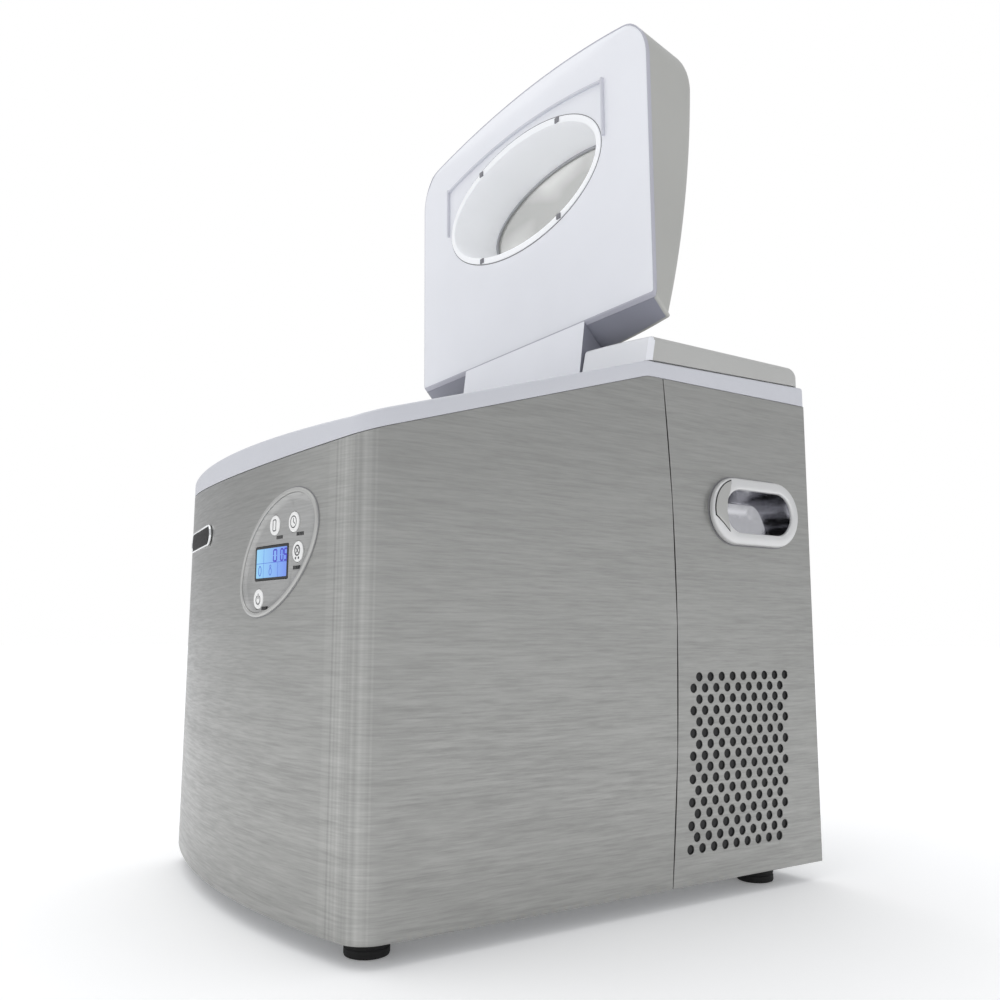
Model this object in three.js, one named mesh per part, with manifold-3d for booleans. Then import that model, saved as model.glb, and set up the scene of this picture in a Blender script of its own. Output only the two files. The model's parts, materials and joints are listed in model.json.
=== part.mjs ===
// Countertop ice maker with its lid open. Millimetres, +Z up, front at -Y, +X to the machine's right
// as seen from the front. The origin is on the standing surface, under the middle of the body.

import * as THREE from 'three';
import { mergeVertices } from 'three/addons/utils/BufferGeometryUtils.js';
import Module from 'manifold-3d';

const wasm = await Module();
wasm.setup();

// ---------------------------------------------------------------------------------------------
// Driving dimensions
// ---------------------------------------------------------------------------------------------

const GAP = 0.3; // left between neighbours that touch
const HALF_WIDTH = 181;
const FRONT_Y = -218.5; // furthest point of the bowed front
const REAR_Y = 218.5;
const BOW_RADIUS = 667.7; // plan radius of the bowed front
const BOW_CENTRE_Y = FRONT_Y + BOW_RADIUS;
const CORNER_RADIUS = 21; // front corners of the steel body
const SHEET = 1.2; // steel sheet
const REAR_PANEL_Y = 211; // outer face of the recessed rear panel
const STEEL_BOTTOM = 14;
const STEEL_TOP = 389; // level rear part of the steel's upper edge
const KINK_Y = 39; // where the upper edge starts to fall towards the front
const SLOPE = THREE.MathUtils.degToRad(16.8);
const FALL = Math.tan(SLOPE);
const SEAM_Y = 63.4; // rearmost point of the bowed seam between front wrap and side panel
const SEAM_Z = 205;
const SEAM_RADIUS = 1800;

const RIM_TOP = 401.5; // rim's top at the kink
const RIM_REAR_TOP = 405.5;
const RIM_LIP_TOP = 330; // level lip along the front
const MOUTH = { halfX: 150, front: -188, rear: 27, corner: 20 };

const HINGE_Y = 60;
const HINGE_Z = 421;
const SWING = THREE.MathUtils.degToRad(106);
const TONGUE_HALF = 95;
const TONGUE_DROP = 5; // tongue's top below the cover's top, closed
const POCKET = { halfX: 98, rear: 92, floor: 388.5, wall: 2.5 };
const PIN_RADIUS = 2.5;

const LID_EDGE_Y = 28.8; // hinge-end edge of the liner, closed
const LID_CORNER_RADIUS = 40;
const LID_CROWN_Z = 432;
const LID_SKIN = 2.6;
const LINER_THICKNESS = 3.2;
const CROWN = 3.67e-4; // fall of crowned tops across X, per mm of x squared
const ARCH = 6.5e-4; // fall of the lid's top towards the front, per mm of y squared
const ARCH_Y = 35;
const WINDOW = { y: -115.6, a: 122, b: 56.7, flange: 6.4 };

const LID_LIFT = 0.4; // liner above the rim, closed
const LID_ROUND = { side: 8, front: 15, corner: 12 }; // radii of the lid's top edge
const RIB = { crest: 53, half: 128, width: 3, proud: 3.2 }; // crest: ends' distance from the window's middle
const CLIP = { x: 62.7, y: 45.5 };

const COVER_TOP = 434;
const COVER_WALL = 3;
const COVER_LIFT = 0.6; // cover above the rim
const COVER_ROUND = { side: 6, rear: 10 };
const COVER_CORNER = { front: 6, rear: 14 };
const ABOVE_ALL = 445; // higher than the closed lid and the cover

const TUB_FLOOR = 196;
const TUB_WALL = 3;
const TRAY = { y: -22, z: 322, inner: 42, wall: 2, halfX: 112, open: 75 };

const DRAIN = { x: -100, y: 0 };

const VENT = { fromSeam: 67.5, z: 100.9, pitchY: 12, pitchZ: 8.25, rows: 16, columns: 9, radius: 3.4 };
const HANDLE = { y: 150, z: 291.5, length: 100, height: 53.5, openLength: 76.4, openHeight: 34 };
const CONTROLS = { x: 82, z: 247.7, a: 58.6, b: 34.6, tilt: THREE.MathUtils.degToRad(32) };
const BEZEL = { width: 3.2, proud: 1.3, depth: 4.5 };
const LCD = { x: -8.1, z: -5.6, width: 47.4, height: 23.6 };
const BUTTON_RADIUS = 7;
const BUTTONS = [
  ['select_button', -4.1, 19.7],
  ['timer_button', 21.6, 20.0],
  ['clean_button', 27.5, -0.2],
  ['power_button', -25.2, -30.1],
];
const BADGE = { x: -95, z: 272, length: 94, height: 19, proud: 2.2 };

const FOOT_PLACES = [
  ['foot_front_left', -148, -171],
  ['foot_front_right', 148, -171],
  ['foot_rear_left', -152, 171],
  ['foot_rear_right', 152, 171],
];
const SCREW_PLACES = [
  [-168, 30],
  [168, 30],
  [-168, 375],
  [168, 375],
];
const INLET = { x: 120, z: 45 };

const BAY = { wallY: 34, compressorX: -82, compressorY: 126, fanY: 130, fanZ: 100 };
const PUMP = { x: -128, y: 8, bottom: 199.4 };
const BASKET = { halfX: 134, front: -183, rear: -74, bottom: 236, top: 312, wall: 2.2 };

const FINISH = {
  steel: [0x969693, 0.36, 1.0],
  galvanised: [0x8d9094, 0.5, 0.9],
  white: [0xe2e6ee, 0.42, 0.0],
  rim: [0xd4d6da, 0.45, 0.0],
  silver: [0xabaaa6, 0.45, 0.1],
  chrome: [0xe8eaec, 0.08, 1.0],
  black: [0x141414, 0.55, 0.0],
  rubber: [0x101010, 0.8, 0.0],
  clear: [0xe9f1f2, 0.05, 0.0],
  lcd: [0x78aafa, 0.2, 0.0],
  button: [0xf0f0ee, 0.4, 0.0],
  board: [0x2c5e35, 0.6, 0.0],
  copper: [0xb87048, 0.3, 1.0],
  aluminium: [0xb9bcc0, 0.4, 1.0],
  enamel: [0x17181a, 0.35, 0.2],
};

// ---------------------------------------------------------------------------------------------
// Shape helpers
// ---------------------------------------------------------------------------------------------

const X_AXIS = new THREE.Vector3(1, 0, 0);
const Y_AXIS = new THREE.Vector3(0, 1, 0);
const Z_AXIS = new THREE.Vector3(0, 0, 1);
const ALONG = {
  x: new THREE.Matrix4().makeBasis(Y_AXIS, Z_AXIS, X_AXIS),
  y: new THREE.Matrix4().makeBasis(X_AXIS, Z_AXIS, Y_AXIS.clone().negate()),
  z: new THREE.Matrix4(),
};

function solid(geometry) {
  const bare = geometry.clone();
  bare.deleteAttribute('normal');
  bare.deleteAttribute('uv');
  const merged = mergeVertices(bare);
  return new wasm.Manifold(
    new wasm.Mesh({
      numProp: 3,
      vertProperties: Float32Array.from(merged.attributes.position.array),
      triVerts: Uint32Array.from(merged.index.array),
    }),
  );
}

const asSolid = (shape) => (shape.isBufferGeometry ? solid(shape) : shape);
const join = (...shapes) => shapes.map(asSolid).reduce((a, b) => a.add(b));
const common = (...shapes) => shapes.map(asSolid).reduce((a, b) => a.intersect(b));
const cut = (base, ...tools) => tools.map(asSolid).reduce((a, b) => a.subtract(b), asSolid(base));

function geometryOf(shape) {
  if (shape.isBufferGeometry) {
    return shape;
  }
  const mesh = shape.getMesh();
  const geometry = new THREE.BufferGeometry();
  geometry.setAttribute('position', new THREE.BufferAttribute(mesh.vertProperties, 3));
  geometry.setIndex(new THREE.BufferAttribute(mesh.triVerts, 1));
  geometry.computeVertexNormals();
  return geometry;
}

function toShape(points, holes = []) {
  const vectors = (list) => list.map(([a, b]) => new THREE.Vector2(a, b));
  const shape = new THREE.Shape(vectors(points));
  shape.holes = holes.map((hole) => new THREE.Path(vectors(hole)));
  return shape;
}

// A prism along an axis. Points are (y, z) for x, (x, z) for y and (x, y) for z.
function prism(axis, points, from, to, holes = []) {
  const geometry = new THREE.ExtrudeGeometry(toShape(points, holes), {
    depth: to - from,
    bevelEnabled: false,
  });
  geometry.translate(0, 0, axis === 'y' ? -to : from);
  return geometry.applyMatrix4(ALONG[axis]);
}

function block(x0, x1, y0, y1, z0, z1) {
  const geometry = new THREE.BoxGeometry(x1 - x0, y1 - y0, z1 - z0);
  return geometry.translate((x0 + x1) / 2, (y0 + y1) / 2, (z0 + z1) / 2);
}

// A cylinder along an axis; (a, b) is its centre in the same order as a prism's points.
function rod(axis, a, b, radius, from, to, sides = 20) {
  return prism(axis, ellipse(a, b, radius, radius, 0, sides), from, to);
}

function ellipse(a, b, radiusA, radiusB, tilt = 0, sides = 32) {
  const points = [];
  for (let i = 0; i < sides; i += 1) {
    const angle = (2 * Math.PI * i) / sides;
    const p = radiusA * Math.cos(angle);
    const q = radiusB * Math.sin(angle);
    const turned = [p * Math.cos(tilt) - q * Math.sin(tilt), p * Math.sin(tilt) + q * Math.cos(tilt)];
    points.push([a + turned[0], b + turned[1]]);
  }
  return points;
}

function arc(cx, cy, radius, fromDegrees, toDegrees, steps) {
  const points = [];
  for (let i = 0; i <= steps; i += 1) {
    const angle = THREE.MathUtils.degToRad(fromDegrees + ((toDegrees - fromDegrees) * i) / steps);
    points.push([cx + radius * Math.cos(angle), cy + radius * Math.sin(angle)]);
  }
  return points;
}

function roundedRectangle(x0, x1, y0, y1, radius, steps = 4) {
  return [
    ...arc(x1 - radius, y1 - radius, radius, 0, 90, steps),
    ...arc(x0 + radius, y1 - radius, radius, 90, 180, steps),
    ...arc(x0 + radius, y0 + radius, radius, 180, 270, steps),
    ...arc(x1 - radius, y0 + radius, radius, 270, 360, steps),
  ];
}

// A stadium with round ends, centred on (a, b).
function stadium(a, b, length, height, steps = 8) {
  const radius = height / 2;
  const reach = length / 2 - radius;
  return [...arc(a + reach, b, radius, -90, 90, steps), ...arc(a - reach, b, radius, 90, 270, steps)];
}

// Plan outline with the bowed front: straight sides, round front corners, square rear.
function bodyOutline(inset, cornerRadius = CORNER_RADIUS, rearY = REAR_Y, steps = 14) {
  const cornerX = HALF_WIDTH - cornerRadius;
  const cornerY = BOW_CENTRE_Y - Math.sqrt((BOW_RADIUS - cornerRadius) ** 2 - cornerX ** 2);
  const bow = THREE.MathUtils.radToDeg(Math.asin(cornerX / (BOW_RADIUS - cornerRadius)));
  const radius = cornerRadius - inset;
  const front = arc(0, BOW_CENTRE_Y, BOW_RADIUS - inset, -90 - bow, -90 + bow, steps);
  return [
    [HALF_WIDTH - inset, rearY - inset],
    [inset - HALF_WIDTH, rearY - inset],
    ...arc(-cornerX, cornerY, radius, -180, -90 - bow, 6).slice(0, -1),
    ...front,
    ...arc(cornerX, cornerY, radius, -90 + bow, 0, 6).slice(1),
  ];
}

// How far a face with a round edge drops, at a distance inside that edge.
function edgeDrop(distance, radius) {
  const short = THREE.MathUtils.clamp(radius - distance, 0, radius);
  return radius - Math.sqrt(radius ** 2 - short ** 2);
}

// A solid under a grid of points, closed by walls and a flat floor.
function underSurface(columns, rows, pointAt, floor) {
  const positions = [];
  const index = [];
  rows.forEach((row) => columns.forEach((column) => positions.push(...pointAt(column, row))));
  const width = columns.length;
  const height = rows.length;
  const edge = [];
  for (let i = 0; i < width; i += 1) edge.push(i);
  for (let j = 1; j < height; j += 1) edge.push(j * width + width - 1);
  for (let i = width - 2; i >= 0; i -= 1) edge.push((height - 1) * width + i);
  for (let j = height - 2; j > 0; j -= 1) edge.push(j * width);
  const base = width * height;
  edge.forEach((k) => positions.push(positions[3 * k], positions[3 * k + 1], floor));
  const middle = base + edge.length;
  positions.push(0, (rows[0] + rows[height - 1]) / 2, floor);
  for (let j = 0; j < height - 1; j += 1) {
    for (let i = 0; i < width - 1; i += 1) {
      const a = j * width + i;
      index.push(a, a + 1, a + width + 1, a, a + width + 1, a + width);
    }
  }
  edge.forEach((top, k) => {
    const next = (k + 1) % edge.length;
    index.push(base + k, base + next, edge[next], base + k, edge[next], top);
    index.push(middle, base + next, base + k);
  });
  const geometry = new THREE.BufferGeometry();
  geometry.setAttribute('position', new THREE.Float32BufferAttribute(positions, 3));
  geometry.setIndex(index);
  return geometry;
}

function pipe(points, radius, sides = 8, steps = 24) {
  const path = new THREE.CatmullRomCurve3(points.map((p) => new THREE.Vector3(...p)));
  const section = toShape(ellipse(0, 0, radius, radius, 0, sides));
  return new THREE.ExtrudeGeometry(section, { extrudePath: path, steps });
}

// A turned solid about Z from a half section of (radius, z) points that starts and ends on the axis.
function turned(section, sides = 24) {
  return new THREE.LatheGeometry(
    section.map(([radius, z]) => new THREE.Vector2(radius, z)),
    sides,
  ).rotateX(Math.PI / 2);
}

const machine = new THREE.Group();

function addPart(parent, name, shape, finish) {
  const [color, roughness, metalness] = FINISH[finish];
  const material = new THREE.MeshStandardMaterial({ color, roughness, metalness });
  const mesh = new THREE.Mesh(geometryOf(shape), material);
  mesh.name = name;
  parent.add(mesh);
  return mesh;
}

// ---------------------------------------------------------------------------------------------
// Heights and profiles shared by several pieces
// ---------------------------------------------------------------------------------------------

const steelTopAt = (y) => STEEL_TOP + Math.min(0, y - KINK_Y) * FALL;
const rimTopAt = (y) => RIM_TOP + Math.min(0, y - KINK_Y - 1) * FALL;
const LIP_Y = KINK_Y + 1 - (RIM_TOP - RIM_LIP_TOP) / FALL;

// Everything below the steel's upper edge, lowered by a margin, as a prism across the machine.
function underSteelTop(margin, bottom = 0) {
  const front = FRONT_Y - 2;
  const profile = [
    [front, bottom],
    [REAR_Y + 2, bottom],
    [REAR_Y + 2, STEEL_TOP - margin],
    [KINK_Y, STEEL_TOP - margin],
    [front, steelTopAt(front) - margin],
  ];
  return prism('x', profile, -HALF_WIDTH - 2, HALF_WIDTH + 2);
}

// ---------------------------------------------------------------------------------------------
// Steel body
// ---------------------------------------------------------------------------------------------

function seamY(z) {
  return SEAM_Y - (z - SEAM_Z) ** 2 / (2 * SEAM_RADIUS);
}

function seamPoints(shift) {
  const points = [];
  for (let i = 0; i <= 12; i += 1) {
    const z = STEEL_BOTTOM - 2 + ((STEEL_TOP + 4 - STEEL_BOTTOM) * i) / 12;
    points.push([seamY(z) + shift, z]);
  }
  return points;
}

function basePan() {
  const inset = SHEET + 2 * GAP;
  const outline = (more) => bodyOutline(inset + more, CORNER_RADIUS, REAR_PANEL_Y);
  const drainHole = ellipse(DRAIN.x, DRAIN.y, 7.9, 7.9, 0, 16);
  const floor = prism('z', outline(0), 14.3, 16.5, [drainHole]);
  const flange = prism('z', outline(0), 16, 28, [outline(1.5)]);
  return join(floor, flange);
}

function frontWrapPanel() {
  const outline = bodyOutline(0, CORNER_RADIUS, REAR_Y + 10);
  const inner = bodyOutline(SHEET, CORNER_RADIUS, REAR_Y + 10);
  const wall = cut(
    prism('z', outline, STEEL_BOTTOM, STEEL_TOP + 5),
    prism('z', inner, STEEL_BOTTOM - 1, STEEL_TOP + 6),
  );
  const behindSeam = prism(
    'x',
    [...seamPoints(0), [REAR_Y + 20, STEEL_TOP + 8], [REAR_Y + 20, STEEL_BOTTOM - 4]],
    -HALF_WIDTH - 2,
    HALF_WIDTH + 2,
  );
  return cut(common(wall, underSteelTop(0)), behindSeam, controlCutter(CONTROLS.a + GAP, CONTROLS.b + GAP));
}

function ventHoles() {
  const holes = [];
  for (let row = 0; row < VENT.rows; row += 1) {
    const shift = row % 2 === 0 ? VENT.pitchY / 4 : -VENT.pitchY / 4;
    for (let column = 0; column < VENT.columns; column += 1) {
      const z = VENT.z + ((VENT.rows - 1) / 2 - row) * VENT.pitchZ;
      const y = seamY(z) + VENT.fromSeam + shift + (column - (VENT.columns - 1) / 2) * VENT.pitchY;
      holes.push(ellipse(y, z, VENT.radius, VENT.radius, 0, 4));
    }
  }
  return holes;
}

function sidePanel(side) {
  const outline = [
    ...seamPoints(0.8).filter(([, z]) => z > STEEL_BOTTOM && z < STEEL_TOP),
    [SEAM_Y + 0.8 - (STEEL_TOP - SEAM_Z) ** 2 / (2 * SEAM_RADIUS), STEEL_TOP],
    [REAR_Y, STEEL_TOP],
    [REAR_Y, STEEL_BOTTOM],
    [SEAM_Y + 0.8 - (STEEL_BOTTOM - SEAM_Z) ** 2 / (2 * SEAM_RADIUS), STEEL_BOTTOM],
  ];
  const handleHole = stadium(HANDLE.y, HANDLE.z, HANDLE.openLength + 6, HANDLE.openHeight + 6);
  const from = side > 0 ? HALF_WIDTH - SHEET : -HALF_WIDTH;
  return prism('x', outline, from, from + SHEET, [handleHole, ...ventHoles()]);
}

function rearPanel() {
  const half = HALF_WIDTH - SHEET - GAP;
  const slots = [];
  for (let i = 0; i < 12; i += 1) {
    slots.push(roundedRectangle(-70 + i * 12, -65 + i * 12, 70, 170, 2.4, 2));
  }
  const holes = [...slots, ellipse(INLET.x, INLET.z, 8.3, 8.3, 0, 12)];
  SCREW_PLACES.forEach(([x, z]) => holes.push(ellipse(x, z, 2.3, 2.3, 0, 8)));
  const outline = [
    [-half, STEEL_BOTTOM],
    [half, STEEL_BOTTOM],
    [half, STEEL_TOP],
    [-half, STEEL_TOP],
  ];
  return prism('y', outline, REAR_PANEL_Y - SHEET, REAR_PANEL_Y, holes);
}

function screw() {
  const section = [
    [0, -7],
    [1.8, -7],
    [1.8, GAP],
    [3.8, GAP],
    [3.6, 1.4],
    [2.4, 2.2],
    [0, 2.4],
  ];
  return turned(section, 8);
}

function foot() {
  const section = [
    [0, 0],
    [13.2, 0],
    [14.3, 1.2],
    [14.3, 12],
    [13.4, 13.9],
    [0, 13.9],
  ];
  return turned(section, 16);
}

// A carrying grip: a proud chrome bezel and the scooped cup that the fingers reach into.
function handleCup(side) {
  const face = side * HALF_WIDTH;
  const place = (depthOut, depthIn) => {
    const out = face + side * depthOut;
    const inside = face - side * depthIn;
    return [Math.min(out, inside), Math.max(out, inside)];
  };
  const plate = (length, height, depthOut, depthIn) =>
    prism('x', stadium(HANDLE.y, HANDLE.z, length, height), ...place(depthOut, depthIn));
  const flange = join(
    plate(HANDLE.length, HANDLE.height, 2.4, -GAP),
    plate(HANDLE.length - 4, HANDLE.height - 4, 5, -2),
    plate(HANDLE.length - 9, HANDLE.height - 9, 7, -4),
    plate(HANDLE.openLength + 5.2, HANDLE.openHeight + 5.2, 4, 34),
  );
  const scoop = plate(HANDLE.openLength, HANDLE.openHeight, 8, 31.5);
  return cut(flange, scoop);
}

// ---------------------------------------------------------------------------------------------
// Controls on the bowed front: a group whose local -Y points out of the front
// ---------------------------------------------------------------------------------------------

function frontGroup(x, z) {
  const turn = Math.asin(x / BOW_RADIUS);
  const group = new THREE.Group();
  group.position.set(x, BOW_CENTRE_Y - Math.sqrt(BOW_RADIUS ** 2 - x ** 2), z);
  group.rotation.z = turn;
  group.updateMatrixWorld(true);
  return group;
}

const controls = frontGroup(CONTROLS.x, CONTROLS.z);
const badgeGroup = frontGroup(BADGE.x, BADGE.z);

function controlCutter(a, b) {
  const cutter = prism('y', ellipse(0, 0, a, b, CONTROLS.tilt, 32), -20, 20);
  return cutter.applyMatrix4(controls.matrixWorld);
}

// A slab that follows the bow, from `out` in front of the surface to `inward` behind it.
function bowSlab(out, inward, halfWidth) {
  const half = THREE.MathUtils.radToDeg(halfWidth / BOW_RADIUS);
  const outer = arc(0, BOW_RADIUS, BOW_RADIUS + out, -90 - half, -90 + half, 8);
  const inner = arc(0, BOW_RADIUS, BOW_RADIUS - inward, -90 + half, -90 - half, 8);
  return prism('z', [...outer, ...inner], -60, 60);
}

function controlBezel() {
  const outer = ellipse(0, 0, CONTROLS.a, CONTROLS.b, CONTROLS.tilt, 32);
  const inner = ellipse(0, 0, CONTROLS.a - BEZEL.width, CONTROLS.b - BEZEL.width, CONTROLS.tilt, 32);
  return common(bowSlab(BEZEL.proud, BEZEL.depth, 64), prism('y', outer, -20, 20, [inner]));
}

function lcdOutline(margin) {
  const halfX = LCD.width / 2 + margin;
  const halfZ = LCD.height / 2 + margin;
  return roundedRectangle(LCD.x - halfX, LCD.x + halfX, LCD.z - halfZ, LCD.z + halfZ, 1, 1);
}

function controlFace() {
  const inset = BEZEL.width + GAP;
  const outer = ellipse(0, 0, CONTROLS.a - inset, CONTROLS.b - inset, CONTROLS.tilt, 28);
  const holes = BUTTONS.map(([, x, z]) => ellipse(x, z, BUTTON_RADIUS + GAP, BUTTON_RADIUS + GAP, 0, 14));
  return common(bowSlab(-0.5, 3, 62), prism('y', outer, -20, 20, [lcdOutline(GAP), ...holes]));
}

function button() {
  const section = [
    [0, -3.8],
    [BUTTON_RADIUS, -3.8],
    [BUTTON_RADIUS, 0.5],
    [BUTTON_RADIUS - 0.7, 1.0],
    [0, 1.1],
  ];
  return turned(section, 14).rotateX(Math.PI / 2);
}

function controlBoard() {
  const board = block(-36, 36, 9, 10.6, -20, 20);
  const driver = block(-20, -6, 10.5, 12.6, -8, 6);
  const ribbon = block(4, 24, 10.5, 13.5, -16, -10);
  return join(board, driver, ribbon);
}

function badge() {
  const outline = stadium(0, 0, BADGE.length, BADGE.height);
  return common(bowSlab(BADGE.proud, -GAP, 45), prism('y', outline, -20, 20));
}

// ---------------------------------------------------------------------------------------------
// Top of the body
// ---------------------------------------------------------------------------------------------

function topRim() {
  const profile = [
    [FRONT_Y - 2, steelTopAt(FRONT_Y - 2) + GAP],
    [KINK_Y, STEEL_TOP + GAP],
    [REAR_Y + 1, STEEL_TOP + GAP],
    [REAR_Y + 1, RIM_REAR_TOP],
    [KINK_Y + 1, RIM_TOP],
    [LIP_Y, RIM_LIP_TOP],
    [FRONT_Y - 2, RIM_LIP_TOP],
  ];
  const slab = common(
    prism('z', bodyOutline(0), 300, 420),
    prism('x', profile, -HALF_WIDTH - 1, HALF_WIDTH + 1),
  );
  const mouth = roundedRectangle(-MOUTH.halfX, MOUTH.halfX, MOUTH.front, MOUTH.rear, MOUTH.corner);
  const hollow = block(-HALF_WIDTH + 8, HALF_WIDTH - 8, POCKET.rear + 10, REAR_Y - 6, 380, 398);
  const { halfX, rear, floor, wall } = POCKET;
  const tray = block(-halfX - wall, halfX + wall, MOUTH.rear + 6, rear + wall, floor - wall, 400);
  const pocket = block(-halfX, halfX, MOUTH.rear - 5, rear, floor, 420);
  return cut(join(cut(slab, hollow), tray), prism('z', mouth, 290, 420), pocket);
}

function coverTopAt(x, y, drop) {
  const side = edgeDrop(HALF_WIDTH - Math.abs(x), COVER_ROUND.side);
  const rear = edgeDrop(REAR_Y - y, COVER_ROUND.rear);
  return COVER_TOP - CROWN * x ** 2 - Math.max(side, rear) - drop;
}

function mirrored(list) {
  return [...list.map((value) => -value), 0, ...[...list].reverse()];
}

function underCover(drop) {
  const columns = mirrored([HALF_WIDTH + 1, HALF_WIDTH, 179, 175, 130, 70]);
  const rows = [20, 208.5, 214, 217.5, REAR_Y, REAR_Y + 2];
  return underSurface(columns, rows, (x, y) => [x, y, coverTopAt(x, y, drop)], 395);
}

function coverOutline(inset) {
  const { front, rear } = COVER_CORNER;
  const rearY = REAR_Y - rear;
  const frontY = KINK_Y + 1 + front;
  return [
    ...arc(HALF_WIDTH - rear, rearY, rear - inset, 0, 90, 4),
    ...arc(rear - HALF_WIDTH, rearY, rear - inset, 90, 180, 4),
    ...arc(front - HALF_WIDTH, frontY, front - inset, 180, 270, 3),
    ...arc(HALF_WIDTH - front, frontY, front - inset, 270, 360, 3),
  ];
}

// Side profile of the cover with its leaning front, set back and lowered by margins.
function coverProfile(setback, drop) {
  const front = KINK_Y + 1 + setback;
  return [
    [front, RIM_TOP + COVER_LIFT - drop],
    [REAR_Y + 1, RIM_REAR_TOP + COVER_LIFT - drop],
    [REAR_Y + 1, ABOVE_ALL - drop],
    [front + 9, ABOVE_ALL - drop],
    [front + 4, RIM_TOP + 20 - drop],
  ];
}

function rearTopCover() {
  const front = KINK_Y + 1;
  const across = [-HALF_WIDTH - 1, HALF_WIDTH + 1];
  const outer = common(
    prism('z', coverOutline(0), 395, ABOVE_ALL),
    prism('x', coverProfile(0, 0), ...across),
    underCover(0),
  );
  const slotWall = block(
    -POCKET.halfX - COVER_WALL,
    POCKET.halfX + COVER_WALL,
    front - 5,
    POCKET.rear + COVER_WALL,
    390,
    ABOVE_ALL,
  );
  const inside = common(
    prism('z', coverOutline(COVER_WALL), 390, ABOVE_ALL),
    prism('x', coverProfile(COVER_WALL, 5), ...across),
    underCover(COVER_WALL),
  );
  const slot = block(-POCKET.halfX, POCKET.halfX, front - 6, POCKET.rear, 390, ABOVE_ALL);
  const bosses = [-1, 1].map((side) => {
    const ends = [side * (POCKET.halfX + 1), side * (POCKET.halfX + 12)].sort((a, b) => a - b);
    return rod('x', HINGE_Y, HINGE_Z, 6.5, ...ends, 16);
  });
  const bore = rod('x', HINGE_Y, HINGE_Z, PIN_RADIUS + GAP, -120, 120, 16);
  return cut(join(cut(outer, cut(inside, slotWall), slot), ...bosses), bore);
}

// ---------------------------------------------------------------------------------------------
// Lid, shaped as it lies closed; its group swings it open about the hinge
// ---------------------------------------------------------------------------------------------

const lid = new THREE.Group();
lid.position.set(0, HINGE_Y, HINGE_Z);
lid.rotation.x = -SWING;

function addLidPart(name, shape, finish) {
  const geometry = geometryOf(shape).clone();
  geometry.translate(0, -HINGE_Y, -HINGE_Z);
  return addPart(lid, name, geometry, finish);
}

function lidTopAt(x, y, drop) {
  const cornerX = HALF_WIDTH - LID_CORNER_RADIUS;
  const reach = BOW_RADIUS - LID_CORNER_RADIUS;
  const cornerY = BOW_CENTRE_Y - Math.sqrt(reach ** 2 - cornerX ** 2);
  const frontDistance = BOW_RADIUS - Math.hypot(x, BOW_CENTRE_Y - y);
  const inCorner = Math.abs(x) > cornerX && y < cornerY;
  const cornerDistance = LID_CORNER_RADIUS - Math.hypot(Math.abs(x) - cornerX, y - cornerY);
  const round = Math.max(
    edgeDrop(HALF_WIDTH - Math.abs(x), LID_ROUND.side),
    edgeDrop(frontDistance, LID_ROUND.front),
    inCorner ? edgeDrop(cornerDistance, LID_ROUND.corner) : 0,
  );
  return LID_CROWN_Z - ARCH * Math.min(0, y - ARCH_Y) ** 2 - CROWN * x ** 2 - round - drop;
}

function underLid(drop) {
  const columns = mirrored([HALF_WIDTH + 1, HALF_WIDTH, 178.5, 172, 140, 95, 50]);
  const rows = [-4, 0, 2, 7, 15, 40, 90, 150, 210, 300];
  const front = (x) => BOW_CENTRE_Y - Math.sqrt(BOW_RADIUS ** 2 - Math.min(x ** 2, HALF_WIDTH ** 2));
  const pointAt = (x, row) => [x, front(x) + row, lidTopAt(x, front(x) + row, drop)];
  return underSurface(columns, rows, pointAt, 300);
}

// Side profile of the lid, lifted by a margin off the rim and set back from its slanted end.
function lidProfile(lift, setback) {
  return [
    [FRONT_Y - 4, RIM_LIP_TOP + LID_LIFT + lift],
    [LIP_Y, RIM_LIP_TOP + LID_LIFT + lift],
    [LID_EDGE_Y - setback, rimTopAt(LID_EDGE_Y - setback) + LID_LIFT + lift],
    [40 - setback, 416],
    [42.5 - setback, 424],
    [44 - setback, ABOVE_ALL],
    [FRONT_Y - 4, ABOVE_ALL],
  ];
}

const acrossLid = (lift, setback) =>
  prism('x', lidProfile(lift, setback), -HALF_WIDTH - 2, HALF_WIDTH + 2);

function lidPlan(inset) {
  return prism('z', bodyOutline(inset, LID_CORNER_RADIUS, 60 + inset), 300, 450);
}

const liner = new THREE.Matrix4()
  .makeTranslation(0, WINDOW.y, rimTopAt(WINDOW.y) + LID_LIFT)
  .multiply(new THREE.Matrix4().makeRotationX(SLOPE));

// An oval prism square to the liner; from and to are heights above the liner's lower face.
function windowPrism(inset, from, to, innerInset = null) {
  const oval = (margin) => ellipse(0, 0, WINDOW.a - margin, WINDOW.b - margin, 0, 26);
  const holes = innerInset === null ? [] : [oval(innerInset)];
  return prism('z', oval(inset), from, to, holes).applyMatrix4(liner);
}

function lidShell() {
  const outer = common(underLid(0), lidPlan(0), acrossLid(LINER_THICKNESS + GAP, 0));
  const cavity = common(underLid(LID_SKIN), lidPlan(LID_SKIN));
  return cut(outer, cavity, windowPrism(WINDOW.flange + 3, 0, 120));
}

function linerRib() {
  const { crest, half, width, proud } = RIB;
  const bow = THREE.MathUtils.radToDeg(Math.asin(half / BOW_RADIUS));
  const centre = -crest + Math.sqrt(BOW_RADIUS ** 2 - half ** 2);
  const outer = arc(0, centre, BOW_RADIUS, -90 - bow, -90 + bow, 10);
  const inner = arc(0, centre, BOW_RADIUS - width, -90 + bow, -90 - bow, 10);
  const bar = prism('z', [...outer, ...inner], -proud, 1);
  const legs = [-half, half - width].map((x) => block(x, x + width, -crest - 1, -2, -proud, 1));
  return [bar, ...legs].map((shape) => shape.applyMatrix4(liner));
}

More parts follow.
